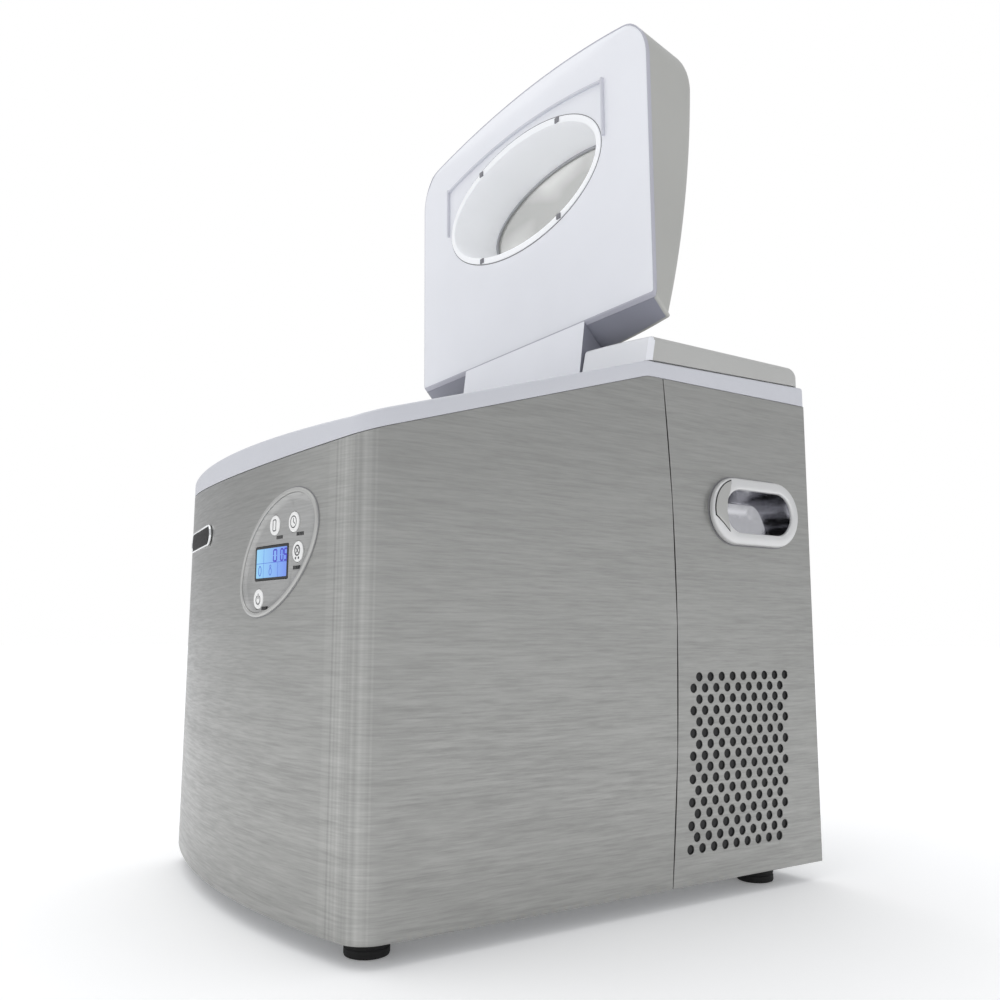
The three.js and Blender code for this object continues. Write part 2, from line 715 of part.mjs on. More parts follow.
// Side profile of the hinge tongue: front plate, round back and level top.
function tongueProfile(inset) {
  const back = HINGE_Y + 28 - inset;
  return [
    [LID_EDGE_Y + inset, rimTopAt(LID_EDGE_Y) + LID_LIFT + inset],
    [HINGE_Y + 25 - inset, 407.2 + inset],
    [back, 413],
    [back - 2, 424],
    [HINGE_Y + 19 - inset, 430 - inset],
    [44, 430 - inset],
    [40, 416 - inset / 2],
  ];
}

function lidLiner() {
  const plate = cut(common(acrossLid(0, 0), lidPlan(0)), acrossLid(LINER_THICKNESS, 0));
  const endWall = common(
    cut(acrossLid(0.5, 0), acrossLid(LID_LIFT, LID_SKIN)),
    lidPlan(LID_SKIN + GAP),
    underLid(LID_SKIN + GAP),
  );
  const tongue = common(
    prism('x', tongueProfile(0), -TONGUE_HALF, TONGUE_HALF),
    underCover(TONGUE_DROP),
  );
  const hollow = common(
    prism('x', tongueProfile(3), 3 - TONGUE_HALF, TONGUE_HALF - 3),
    underCover(TONGUE_DROP + 3),
  );
  const window = windowPrism(-GAP, -5, 20);
  const bosses = [-1, 1].map((side) => {
    const ends = [side * (TONGUE_HALF - 12), side * (TONGUE_HALF - 1)].sort((a, b) => a - b);
    return rod('x', HINGE_Y, HINGE_Z, 6, ...ends, 16);
  });
  const doorway = block(3 - TONGUE_HALF, TONGUE_HALF - 3, 30, 46, 405, 418);
  const bore = rod('x', HINGE_Y, HINGE_Z, PIN_RADIUS + GAP, -120, 120, 16);
  return cut(join(cut(join(plate, endWall, tongue), hollow, doorway, window), ...bosses, ...linerRib()), bore);
}

function windowRing() {
  const flange = windowPrism(0, -0.4, 2.6, WINDOW.flange);
  const collar = windowPrism(WINDOW.flange - 2.5, 2, 120, WINDOW.flange);
  const clips = [];
  for (const [sx, sy] of [[-1, -1], [1, -1], [1, 1], [-1, 1]]) {
    const x = sx * CLIP.x;
    const y = sy * CLIP.y;
    clips.push(block(x - 3.5, x + 3.5, y - 3.2, y + 3.2, -2.2, 0).applyMatrix4(liner));
  }
  return join(common(join(flange, collar), underLid(LID_SKIN + GAP)), ...clips);
}

function windowGasket() {
  const band = windowPrism(WINDOW.flange + GAP, 5, 120, WINDOW.flange + 6.5);
  return common(cut(band, underLid(LID_SKIN + 5)), underLid(LID_SKIN + GAP));
}

function windowPane() {
  return common(cut(windowPrism(WINDOW.flange + 3 + GAP, 5, 120), underLid(LID_SKIN)), underLid(0));
}

function hingePin(side) {
  const ends = [side * 87, side * 107].sort((a, b) => a - b);
  return rod('x', HINGE_Y, HINGE_Z, PIN_RADIUS, ...ends, 16);
}

// ---------------------------------------------------------------------------------------------
// Ice compartment
// ---------------------------------------------------------------------------------------------

function waterTub() {
  const { halfX, front, rear, corner } = MOUTH;
  const outline = (out) =>
    roundedRectangle(-halfX - out, halfX + out, front - out, rear + out, corner + out);
  const shell = common(prism('z', outline(TUB_WALL), TUB_FLOOR, 400), underSteelTop(0));
  const cavity = prism('z', outline(0), TUB_FLOOR + TUB_WALL, 420);
  const shaftBore = rod('x', TRAY.y, TRAY.z, 4.4, -halfX - 10, halfX + 10, 12);
  const drain = rod('z', DRAIN.x, DRAIN.y, 5, TUB_FLOOR - 5, TUB_FLOOR + 8, 12);
  const bracketSlot = block(-71, 71, rear - 5, rear + 10, 369, 375);
  const ledges = [-1, 1].flatMap((side) => {
    const ledge = (reach, ...rest) => {
      const [x0, x1] = [side * (halfX - reach), side * (halfX + 1)].sort((a, b) => a - b);
      return block(x0, x1, ...rest);
    };
    return [ledge(22, -175, -82, 228, 235.7), ledge(7, -78, -30, 341, 345.7)];
  });
  return cut(join(cut(shell, cavity), ...ledges), shaftBore, drain, bracketSlot);
}

function iceBasket() {
  const { halfX, front, rear, bottom, top, wall } = BASKET;
  const outline = (inset) =>
    roundedRectangle(inset - halfX, halfX - inset, front + inset, rear - inset, 14 - inset, 3);
  const profile = [
    [front - 17, bottom - 36],
    [rear + 14, bottom - 36],
    [rear + 14, top],
    [rear - 12, top],
    [front - 17, top - 26],
  ];
  const box = common(prism('z', outline(0), bottom, top + 18), prism('x', profile, -halfX - 6, halfX + 6));
  const slots = [];
  for (let i = 0; i < 9; i += 1) {
    const x = -112 + i * 28;
    slots.push(roundedRectangle(x - 9, x + 9, -168, -92, 4, 1));
  }
  const tools = slots.map((slot) => prism('z', slot, bottom - 6, bottom + 6));
  const grips = [-1, 1].map((side) => {
    const centre = side * halfX;
    return block(centre - 5, centre + 5, -152, -106, 262, 278);
  });
  return cut(box, prism('z', outline(wall), bottom + 2.5, top + 28), ...tools, ...grips);
}

function evaporator() {
  const bar = block(-104, 104, TRAY.y - 6, TRAY.y + 6, 330, 342);
  const fingers = [];
  for (let i = 0; i < 10; i += 1) {
    fingers.push(rod('z', -94.5 + 21 * i, TRAY.y, 4.5, 287, 331, 10));
  }
  const risers = [-60, 60].map((x) => rod('z', x, TRAY.y, 5, 341, 371, 10));
  const plate = block(-68, 68, TRAY.y - 7, 31.5, 370, 373);
  return join(bar, ...fingers, ...risers, plate);
}

// A gutter that turns about its own centre line, so the fingers stay clear of it.
function waterTray() {
  const { y, z, inner, wall, halfX, open } = TRAY;
  const outer = arc(y, z, inner + wall, -90 - open, -90 + open, 14);
  const inside = arc(y, z, inner, -90 + open, -90 - open, 14);
  const gutter = prism('x', [...outer, ...inside], -halfX, halfX);
  const disc = [...arc(y, z, inner + 1, -90 - open, -90 + open, 14), [y, z + 9]];
  const ends = [-halfX, halfX - wall].map((x) => prism('x', disc, x, x + wall));
  const hub = [
    rod('x', y, z, 9, -halfX, -halfX + wall, 12),
    rod('x', y, z, 9, halfX - wall, halfX, 12),
    rod('x', y, z, 4, -152, -halfX + 1, 12),
    rod('x', y, z, 4, halfX - 1, 155, 12),
  ];
  return join(gutter, ...ends, ...hub);
}

function iceRake() {
  const blade = block(-106, 106, -37.5, -35.5, 297, 350);
  const rail = block(-149.5, 149.5, -44, -37, 346, 352);
  const notches = [];
  for (let i = 0; i < 9; i += 1) {
    notches.push(block(-88 + 21 * i, -80 + 21 * i, -40, -34, 290, 325));
  }
  return cut(join(blade, rail), ...notches);
}

function trayMotor() {
  const housing = prism('x', roundedRectangle(-46, 2, 300, 344, 5, 2), 156, 176);
  const can = rod('x', TRAY.y, 284, 15, 157, 178, 16);
  return join(housing, can, block(158, 174, -36, -8, 284, 302));
}

function waterPump() {
  const { x, y, bottom } = PUMP;
  const body = rod('z', x, y, 16, bottom, 232, 16);
  const spout = rod('z', x, y, 4, 231, 242, 10);
  const inlet = rod('x', y, 210, 5, x + 14, x + 20, 10);
  return join(body, spout, inlet);
}

function waterHose() {
  const points = [
    [PUMP.x, PUMP.y, 242.4],
    [PUMP.x, PUMP.y, 270],
    [-132, 5, 300],
    [-136, -2, 335],
    [-134, -6, 352],
  ];
  return pipe(points, 4.5, 8, 16);
}

// ---------------------------------------------------------------------------------------------
// Machinery bay
// ---------------------------------------------------------------------------------------------

function bulkhead() {
  const plate = block(-178.5, 178.5, BAY.wallY, BAY.wallY + 1.6, 28.5, 383);
  const pipeHole = rod('y', -30, 372, 7, 30, 40, 12);
  return cut(plate, pipeHole);
}

function compressor() {
  const section = [
    [0, 30],
    [44, 32],
    [54, 46],
    [55.5, 92],
    [58, 94],
    [58, 98],
    [55.5, 100],
    [52, 138],
    [36, 156],
    [0, 162],
  ];
  const shell = turned(section, 18).translate(BAY.compressorX, BAY.compressorY, 0);
  const x0 = BAY.compressorX;
  const plate = block(x0 - 62, x0 + 62, BAY.compressorY - 40, BAY.compressorY + 40, 27, 32);
  const terminals = block(x0 + 50, x0 + 68, BAY.compressorY - 18, BAY.compressorY + 18, 60, 100);
  const grommets = [];
  for (const [sx, sy] of [[-1, -1], [1, -1], [1, 1], [-1, 1]]) {
    grommets.push(rod('z', x0 + sx * 52, BAY.compressorY + sy * 31, 7, 16.9, 28, 10));
  }
  return join(shell, plate, terminals, ...grommets);
}

function condenser() {
  const core = block(138, 168, 78, 182, 34, 160);
  const gaps = [];
  for (let i = 0; i < 12; i += 1) {
    const z = 36 + i * 10.2;
    gaps.push(block(130, 176, 80, 180, z, z + 8.6));
  }
  return cut(core, ...gaps);
}

function fanShroud() {
  const plate = block(126, 129, 76, 184, 30, 168);
  const throat = rod('x', BAY.fanY, BAY.fanZ, 50, 110, 140, 28);
  const ringWall = cut(rod('x', BAY.fanY, BAY.fanZ, 52.5, 112, 129, 28), throat);
  const struts = [
    block(84, 88, BAY.fanY - 4, BAY.fanY + 4, 30, 96),
    block(84, 128, BAY.fanY - 4, BAY.fanY + 4, 30, 33),
  ];
  return join(cut(plate, throat), ringWall, ...struts);
}

function fanMotor() {
  const can = rod('x', BAY.fanY, BAY.fanZ, 21, 88.3, 108, 20);
  const shaft = rod('x', BAY.fanY, BAY.fanZ, 2.5, 107, 121, 10);
  return join(can, shaft);
}

function fanBlades() {
  const hub = rod('x', BAY.fanY, BAY.fanZ, 12, 110, 124, 16);
  const blades = [];
  for (let i = 0; i < 5; i += 1) {
    const blade = new THREE.BoxGeometry(2, 17, 37);
    blade.rotateZ(THREE.MathUtils.degToRad(32));
    blade.translate(0, 0, 28);
    blade.rotateX((2 * Math.PI * i) / 5);
    blades.push(blade.translate(117, BAY.fanY, BAY.fanZ));
  }
  return cut(join(hub, ...blades), rod('x', BAY.fanY, BAY.fanZ, 2.8, 100, 121.5, 10));
}

function dischargePipe() {
  const points = [
    [-20, 150, 120],
    [-8, 160, 150],
    [30, 175, 185],
    [95, 178, 190],
    [138, 172, 184],
    [146, 162, 164],
  ];
  return pipe(points, 3, 8, 22);
}

function suctionPipe() {
  const points = [
    [-60, 100, 161],
    [-58, 92, 190],
    [-45, 75, 260],
    [-32, 58, 330],
    [-30, 46, 366],
    [-30, 38, 372],
  ];
  return pipe(points, 4, 8, 22);
}

function filterDrier() {
  const section = [
    [0, 196],
    [3, 197],
    [10, 206],
    [10, 262],
    [3, 272],
    [0, 273],
  ];
  return turned(section, 16).translate(110, 60, 0);
}

function powerBoard() {
  const board = block(-20, 110, 42, 43.6, 285, 362);
  const transformer = block(-10, 20, 43, 62, 292, 322);
  const relays = [40, 62, 84].map((x) => block(x, x + 15, 43, 58, 330, 350));
  const capacitor = rod('y', 80, 302, 8, 43, 66, 12);
  const posts = [-14, 104].map((x) => rod('y', x, 356, 3, BAY.wallY + 1.9, 43, 8));
  return join(board, transformer, ...relays, capacitor, ...posts);
}

function cordInlet() {
  const section = [
    [0, -9],
    [5, -9],
    [7.8, -8],
    [7.8, GAP],
    [11, GAP],
    [10.4, 3],
    [6.5, 7],
    [3.6, 7],
    [3.6, 1],
    [0, 1],
  ];
  return turned(section, 16).rotateX(-Math.PI / 2);
}

function drainSpout() {
  const { x, y } = DRAIN;
  const tube = rod('z', x, y, 7.5, 8, TUB_FLOOR - GAP, 16);
  const collar = rod('z', x, y, 12, 16.8, 19, 16);
  return cut(join(tube, collar), rod('z', x, y, 5, 0, TUB_FLOOR + 4, 12));
}

function drainCap() {
  const { x, y } = DRAIN;
  const skirt = cut(rod('z', x, y, 11, 3.5, 13.2, 16), rod('z', x, y, 7.9, 7.5, 20, 16));
  const plug = rod('z', x, y, 4.6, 5, 16, 12);
  const grip = block(x - 9, x + 9, y - 1.5, y + 1.5, 1.5, 4);
  return join(skirt, plug, grip);
}

// ---------------------------------------------------------------------------------------------
// Assembly
// ---------------------------------------------------------------------------------------------

function addBody() {
  addPart(machine, 'base_pan', basePan(), 'galvanised');
  addPart(machine, 'front_wrap_panel', frontWrapPanel(), 'steel');
  addPart(machine, 'side_panel_right', sidePanel(1), 'steel');
  addPart(machine, 'side_panel_left', sidePanel(-1), 'steel');
  addPart(machine, 'rear_panel', rearPanel(), 'galvanised');
  addPart(machine, 'handle_cup_right', handleCup(1), 'chrome');
  addPart(machine, 'handle_cup_left', handleCup(-1), 'chrome');
  addPart(machine, 'top_rim', topRim(), 'rim');
  addPart(machine, 'rear_top_cover', rearTopCover(), 'silver');
  for (const [name, side] of [['hinge_pin_left', -1], ['hinge_pin_right', 1]]) {
    addPart(machine, name, hingePin(side), 'chrome');
  }
  for (const [name, x, y] of FOOT_PLACES) {
    addPart(machine, name, foot(), 'rubber').position.set(x, y, 0);
  }
  SCREW_PLACES.forEach(([x, z], i) => {
    const mesh = addPart(machine, `rear_screw_${i + 1}`, screw(), 'chrome');
    mesh.position.set(x, REAR_PANEL_Y, z);
    mesh.rotation.x = -Math.PI / 2;
  });
}

function addControls() {
  addPart(controls, 'control_bezel', controlBezel(), 'chrome');
  addPart(controls, 'control_face', controlFace(), 'steel');
  addPart(controls, 'lcd_display', prism('y', lcdOutline(0), 0.9, 6), 'lcd');
  for (const [name, x, z] of BUTTONS) {
    addPart(controls, name, button(), 'button').position.set(x, 0, z);
  }
  addPart(controls, 'control_board', controlBoard(), 'board');
  addPart(badgeGroup, 'badge', badge(), 'black');
  machine.add(controls, badgeGroup);
}

function addLid() {
  addLidPart('lid_liner', lidLiner(), 'white');
  addLidPart('lid_shell', lidShell(), 'silver');
  addLidPart('window_ring', windowRing(), 'white');
  addLidPart('window_gasket', windowGasket(), 'rubber');
  addLidPart('window_pane', windowPane(), 'clear');
  machine.add(lid);
}

function addIceCompartment() {
  addPart(machine, 'water_tub', waterTub(), 'white');
  addPart(machine, 'ice_basket', iceBasket(), 'white');
  addPart(machine, 'evaporator', evaporator(), 'aluminium');
  addPart(machine, 'water_tray', waterTray(), 'white');
  addPart(machine, 'ice_rake', iceRake(), 'white');
  addPart(machine, 'tray_motor', trayMotor(), 'black');
  addPart(machine, 'water_pump', waterPump(), 'black');
  addPart(machine, 'water_hose', waterHose(), 'clear');
  addPart(machine, 'ice_level_sensor', block(140, 149.7, -150, -138, 312, 328), 'black');
}

function addMachinery() {
  addPart(machine, 'bulkhead', bulkhead(), 'galvanised');
  addPart(machine, 'compressor', compressor(), 'enamel');
  addPart(machine, 'condenser', condenser(), 'aluminium');
  addPart(machine, 'fan_shroud', fanShroud(), 'black');
  addPart(machine, 'fan_motor', fanMotor(), 'galvanised');
  addPart(machine, 'fan_blades', fanBlades(), 'black');
  addPart(machine, 'discharge_pipe', dischargePipe(), 'copper');
  addPart(machine, 'suction_pipe', suctionPipe(), 'copper');
  addPart(machine, 'filter_drier', filterDrier(), 'copper');
  addPart(machine, 'power_board', powerBoard(), 'board');
  const inlet = addPart(machine, 'cord_inlet', cordInlet(), 'black');
  inlet.position.set(INLET.x, REAR_PANEL_Y, INLET.z);
  addPart(machine, 'drain_spout', drainSpout(), 'white');
  addPart(machine, 'drain_cap', drainCap(), 'black');
}

addBody();
addControls();
addLid();
addIceCompartment();
addMachinery();

export default machine;
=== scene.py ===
import json
import math

import bmesh
import bpy
from mathutils import Matrix, Vector, geometry


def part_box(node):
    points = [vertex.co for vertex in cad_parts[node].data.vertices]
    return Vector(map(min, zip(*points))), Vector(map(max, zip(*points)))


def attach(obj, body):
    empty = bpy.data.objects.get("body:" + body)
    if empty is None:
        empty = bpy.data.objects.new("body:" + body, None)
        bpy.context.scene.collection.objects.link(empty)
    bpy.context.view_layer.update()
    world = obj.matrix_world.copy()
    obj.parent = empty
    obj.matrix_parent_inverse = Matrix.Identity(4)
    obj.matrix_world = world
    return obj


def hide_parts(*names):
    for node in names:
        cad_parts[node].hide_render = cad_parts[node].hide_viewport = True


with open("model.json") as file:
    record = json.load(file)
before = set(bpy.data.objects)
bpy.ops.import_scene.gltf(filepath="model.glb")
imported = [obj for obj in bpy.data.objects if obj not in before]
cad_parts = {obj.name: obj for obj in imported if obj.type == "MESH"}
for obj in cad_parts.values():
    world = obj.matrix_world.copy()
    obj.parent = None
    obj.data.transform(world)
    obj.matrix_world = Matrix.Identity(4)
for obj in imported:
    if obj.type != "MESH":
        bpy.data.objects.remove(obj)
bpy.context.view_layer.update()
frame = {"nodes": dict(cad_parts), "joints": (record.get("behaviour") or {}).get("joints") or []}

# Countertop ice maker with its lid open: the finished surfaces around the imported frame.
# Lengths are millimetres in the machine's frame until a piece is made, which scales them to metres.
# The front faces -Y. The lid is shaped as it lies closed and is then swung open about its hinge.

MM = 0.001


def span(node):
    low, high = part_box(node)
    return low / MM, high / MM


# ---------------------------------------------------------------------------------------------
# Driving dimensions: the frame's, with the trims' own widths and margins
# ---------------------------------------------------------------------------------------------

WRAP_LOW, WRAP_HIGH = span("front_wrap_panel")
HALF_WIDTH = WRAP_HIGH.x
FRONT_Y = WRAP_LOW.y
STEEL_BOTTOM = WRAP_LOW.z
STEEL_TOP = WRAP_HIGH.z
REAR_Y = span("side_panel_right")[1].y
GAP = 0.3
SHEET = 1.2
EDGE_EASE = 0.35
BOW_RADIUS = 667.7
BOW_CENTRE_Y = FRONT_Y + BOW_RADIUS
BODY_CORNER = 21.0
KINK_Y = 39.0
SLOPE = math.radians(16.8)
FALL = math.tan(SLOPE)
SEAM_Y = 63.4
SEAM_Z = 205.0
SEAM_RADIUS = 1800.0

RIM_TOP = 401.5
RIM_REAR_TOP = 405.5
RIM_LIP_TOP = 330.0
RIM_ROUND, MOUTH_ROUND = 2.2, 1.6
MOUTH_HALF = 150.0
MOUTH_FRONT = -188.0
MOUTH_REAR = 27.0
MOUTH_CORNER = 20.0

HINGE = next(j for j in frame["joints"] if j["name"] == "lid_hinge")
HINGE_AT = Vector(HINGE["pos_m"]) / MM
SWING = math.radians(HINGE["range_deg"][0])
POCKET_HALF = 98.0
POCKET_REAR = 92.0
POCKET_FLOOR = 388.5
TONGUE_HALF = 95.0
TONGUE_DROP = 5.0

LID_EDGE_Y = 28.8
LID_CORNER = 40.0
LID_CROWN_Z = 432.0
LID_SKIN = 2.6
LID_GAP = 0.4  # between the closed lid and the rim
LINER_THICKNESS = 3.2
CROWN = 3.67e-4
ARCH = 6.5e-4
ARCH_Y = 35.0
WINDOW_Y = -115.6
WINDOW_A = 122.0
WINDOW_B = 56.7
FLANGE_WIDTH = 6.4
COLLAR_OUTSIDE = 4.2
PANE_MARGIN = 9.5
PANE_HOLE_MARGIN = 9.2
LINER_HOLE_MARGIN = -0.9
CLIP_X, CLIP_Y = 62.7, 45.5
RIB_CREST, RIB_HALF, RIB_WIDTH, RIB_PROUD = 52.0, 126.5, 2.2, 3.0
TRIM_WIDTH = 1.3  # how far the shell's edge shows round the liner
COVER_TOP = 434.0
COVER_FRONT_CORNER, COVER_REAR_CORNER = 6.0, 14.0

VENT_FROM_SEAM, VENT_Z = 67.5, 100.9
VENT_PITCH_Y, VENT_PITCH_Z = 12.0, 8.25
VENT_ROWS, VENT_COLUMNS = 16, 9
VENT_RADIUS = 3.4
GRIP_Y, GRIP_Z = 150.0, 291.5
GRIP_LENGTH, GRIP_HEIGHT = 100.0, 53.5
GRIP_SHIFT = 2.5  # the opening sits behind the middle of the face
SIDES = (("right", 1), ("left", -1))
GRIP_OPEN_LENGTH, GRIP_OPEN_HEIGHT = 76.4, 34.0
PANEL_X, PANEL_Z = 82.0, 247.7
PANEL_A, PANEL_B = 58.6, 34.6
PANEL_TILT = math.radians(32)
BADGE_X, BADGE_Z = -95.0, 272.0
BADGE_LENGTH, BADGE_HEIGHT = 93.0, 17.0

# Where the painted highlight streaks on the steel's front corners fade in, in metres.
CORNER_HIGHLIGHT_X = 0.143, 0.150
CORNER_HIGHLIGHT_Y = -0.187, -0.185

# ---------------------------------------------------------------------------------------------
# Materials: each is a small node tree on object coordinates
# ---------------------------------------------------------------------------------------------


def node(tree, kind, **values):
    made = tree.nodes.new(kind)
    for key, value in values.items():
        if key in made.inputs:
            made.inputs[key].default_value = value
        else:
            setattr(made, key, value)
    return made


def noise(tree, stretch, detail=2.0, roughness=0.5):
    """Noise on object coordinates; stretch is its cycles per metre along X, Y and Z."""
    place = node(tree, "ShaderNodeTexCoord")
    mapping = node(tree, "ShaderNodeMapping", Scale=stretch)
    texture = node(tree, "ShaderNodeTexNoise", Scale=1.0, Detail=detail, Roughness=roughness)
    tree.links.new(place.outputs["Object"], mapping.inputs["Vector"])
    tree.links.new(mapping.outputs["Vector"], texture.inputs["Vector"])
    return texture.outputs["Fac"]


def ranged(tree, value, low, high, from_low=0.3, from_high=0.7):
    spread = node(tree, "ShaderNodeMapRange")
    spread.inputs["From Min"].default_value = from_low
    spread.inputs["From Max"].default_value = from_high
    spread.inputs["To Min"].default_value = low
    spread.inputs["To Max"].default_value = high
    tree.links.new(value, spread.inputs["Value"])
    return spread.outputs["Result"]


def blended(tree, factor, color_a, color_b):
    mix = node(tree, "ShaderNodeMix", data_type="RGBA")
    mix.inputs["A"].default_value = (*color_a, 1)
    mix.inputs["B"].default_value = (*color_b, 1)
    tree.links.new(factor, mix.inputs["Factor"])
    return mix.outputs["Result"]


def axes(tree, source="Object"):
    """A coordinate's X, Y and Z outputs."""
    place = node(tree, "ShaderNodeTexCoord")
    split = node(tree, "ShaderNodeSeparateXYZ")
    tree.links.new(place.outputs[source], split.inputs["Vector"])
    return split.outputs


def relief(tree, surface, height, strength, distance):
    bump = node(tree, "ShaderNodeBump", Strength=strength, Distance=distance)
    tree.links.new(height, bump.inputs["Height"])
    tree.links.new(bump.outputs["Normal"], surface.inputs["Normal"])


def tones(base, spread):
    """A colour made darker and lighter by a share."""
    return tuple(c * (1 - spread) for c in base), tuple(min(1.0, c * (1 + spread)) for c in base)


def linear(color):
    return tuple(c / 12.92 if c <= 0.04045 else ((c + 0.055) / 1.055) ** 2.4 for c in color)


def shader(name, **values):
    material = bpy.data.materials.new(name)
    material.use_nodes = True
    tree = material.node_tree
    surface = tree.nodes["Principled BSDF"]
    for key, value in values.items():
        surface.inputs[key.replace("_", " ")].default_value = value
    return material, tree, surface


def moulded(name, color, roughness=0.4, spread=0.02, grain=900.0, bump=0.05, **values):
    """Moulded or painted surface: faint mottling, a fine grain in the relief and uneven gloss."""
    material, tree, surface = shader(name, **values)
    base = linear(color)
    broad = noise(tree, (14.0, 14.0, 14.0), 3.0)
    mottled = blended(tree, ranged(tree, broad, 0, 1), *tones(base, spread))
    tree.links.new(mottled, surface.inputs["Base Color"])
    fine = noise(tree, (grain, grain, grain), 2.0)
    tree.links.new(ranged(tree, fine, roughness - 0.05, roughness + 0.05), surface.inputs["Roughness"])
    relief(tree, surface, fine, bump, 0.0004)
    return material


def painted_corner_highlights(tree):
    """Painted highlight: soft upright streaks of lighter colour round the two front corners, where the sheet
    is rolled, standing in for the reflections there.
    """
    at = axes(tree)
    side = node(tree, "ShaderNodeMath", operation="ABSOLUTE")
    tree.links.new(at["X"], side.inputs[0])
    near = ranged(tree, side.outputs["Value"], 0, 1, *CORNER_HIGHLIGHT_X)
    before = ranged(tree, at["Y"], 1, 0, *CORNER_HIGHLIGHT_Y)
    both = node(tree, "ShaderNodeMath", operation="MULTIPLY")
    tree.links.new(near, both.inputs[0])
    tree.links.new(before, both.inputs[1])
    bands = ranged(tree, noise(tree, (300.0, 300.0, 0.3), 1.0), 0.93, 1.22)
    gain = node(tree, "ShaderNodeMix", data_type="FLOAT")
    gain.inputs["A"].default_value = 1.0
    tree.links.new(both.outputs["Value"], gain.inputs["Factor"])
    tree.links.new(bands, gain.inputs["B"])
    return gain.outputs["Result"]


def brushed(name, color, roughness, contrast, along=55.0, across=1500.0):
    """Steel brushed level: long fine streaks that follow the horizontal, over soft broad bands."""
    edge_tint = (0.86, 0.86, 0.86, 1.0)
    turned_by = {"Anisotropic": 0.75, "Anisotropic_Rotation": 0.25}
    material, tree, surface = shader(name, Metallic=1.0, Specular_Tint=edge_tint, **turned_by)
    base = linear(color)
    tangent = node(tree, "ShaderNodeTangent", direction_type="RADIAL", axis="Z")
    tree.links.new(tangent.outputs["Tangent"], surface.inputs["Tangent"])
    fine = noise(tree, (along, along, across), 4.0, 0.65)
    broad = noise(tree, (along / 6, along / 6, across / 7), 3.0)
    both = node(tree, "ShaderNodeMath", operation="MULTIPLY_ADD")
    both.inputs[1].default_value = 0.35
    tree.links.new(broad, both.inputs[0])
    tree.links.new(fine, both.inputs[2])
    streak = ranged(tree, both.outputs["Value"], 0, 1, 0.5, 0.85)
    tone = node(tree, "ShaderNodeMix", data_type="RGBA", blend_type="MULTIPLY")
    tree.links.new(blended(tree, streak, *tones(base, contrast)), tone.inputs["A"])
    # The base colour is multiplied by the painted highlight streaks round the front corners.
    tree.links.new(painted_corner_highlights(tree), tone.inputs["B"])
    tone.inputs["Factor"].default_value = 1.0
    tree.links.new(tone.outputs["Result"], surface.inputs["Base Color"])
    gloss = ranged(tree, streak, roughness + 0.06, roughness - 0.06, 0, 1)
    tree.links.new(gloss, surface.inputs["Roughness"])
    relief(tree, surface, fine, 0.12, 0.0002)
    return material


def plated(name, color=(0.93, 0.935, 0.94), roughness=0.06):
    """Bright plating with faint haze and slightly wavy reflections."""
    material, tree, surface = shader(name, Metallic=1.0)
    haze = noise(tree, (120.0, 120.0, 120.0), 4.0)
    base = linear(color)
    dull = tuple(c * 0.93 for c in base)
    tree.links.new(blended(tree, ranged(tree, haze, 0, 1), dull, base), surface.inputs["Base Color"])
    tree.links.new(ranged(tree, haze, roughness * 0.6, roughness * 1.6), surface.inputs["Roughness"])
    relief(tree, surface, noise(tree, (60.0, 60.0, 60.0), 1.0), 0.03, 0.001)
    return material


def clear_plastic(name, dull, bright):
    """Thin clear moulding that lets light through, with irregular pale swirls."""
    material, tree, surface = shader(name, Alpha=0.5, IOR=1.46)
    swirl = noise(tree, (9.0, 9.0, 14.0), 1.5, 0.5)
    color = blended(tree, ranged(tree, swirl, 0, 1, 0.42, 0.60), linear(dull), linear(bright))
    tree.links.new(color, surface.inputs["Base Color"])
    tree.links.new(ranged(tree, swirl, 0.04, 0.10), surface.inputs["Roughness"])
    return material


def lit_screen(name):
    """Back-lit display: brighter towards its left side."""
    material, tree, surface = shader(name, Roughness=0.3, Emission_Strength=0.92)
    low, high = span("lcd_display")
    glow = ranged(tree, axes(tree)["X"], 0, 1, low.x * MM, high.x * MM)
    color = blended(tree, glow, linear((0.58, 0.84, 0.97)), linear((0.42, 0.55, 0.93)))
    surface.inputs["Base Color"].default_value = (0.02, 0.02, 0.03, 1)
    tree.links.new(color, surface.inputs["Emission Color"])
    return material


STEEL = brushed("brushed_steel", (0.655, 0.655, 0.645), 0.36, 0.095, 36.0, 700.0)
PANEL_STEEL = brushed("panel_steel", (0.70, 0.70, 0.695), 0.42, 0.08, 40.0, 900.0)
WHITE = moulded("white_plastic", (0.93, 0.935, 0.955), 0.42, 0.012)
# The collar's white glows faintly: painted light, standing in for the light that comes through the pane onto
# its wall.
COLLAR_PAINTED_GLOW = moulded("collar_white_painted_glow", (0.95, 0.955, 0.965), 0.42, 0.012, Emission_Strength=0.10)
RIM_GREY = moulded("rim_plastic", (0.81, 0.815, 0.84), 0.45, 0.015)
SILVER = moulded("silver_paint", (0.715, 0.715, 0.70), 0.42, 0.02, 2500.0, 0.08, Metallic=0.25)
COVER = moulded("cover_paint", (0.745, 0.745, 0.735), 0.42, 0.02, 2500.0, 0.08, Metallic=0.25)
# A lighter copy of the cover's finish for its front faces: painted light, where they face the light.
COVER_LIT_FRONT = moulded("cover_lit_front", (0.88, 0.885, 0.90), 0.35, 0.01)
# A darker grey copy of the white moulding: painted shade for the lid's hinge end and the tongue's sides,
# which face away from the light.
SHADED_END_GREY = moulded("lid_end_painted_shade", (0.55, 0.555, 0.60), 0.5, 0.02)
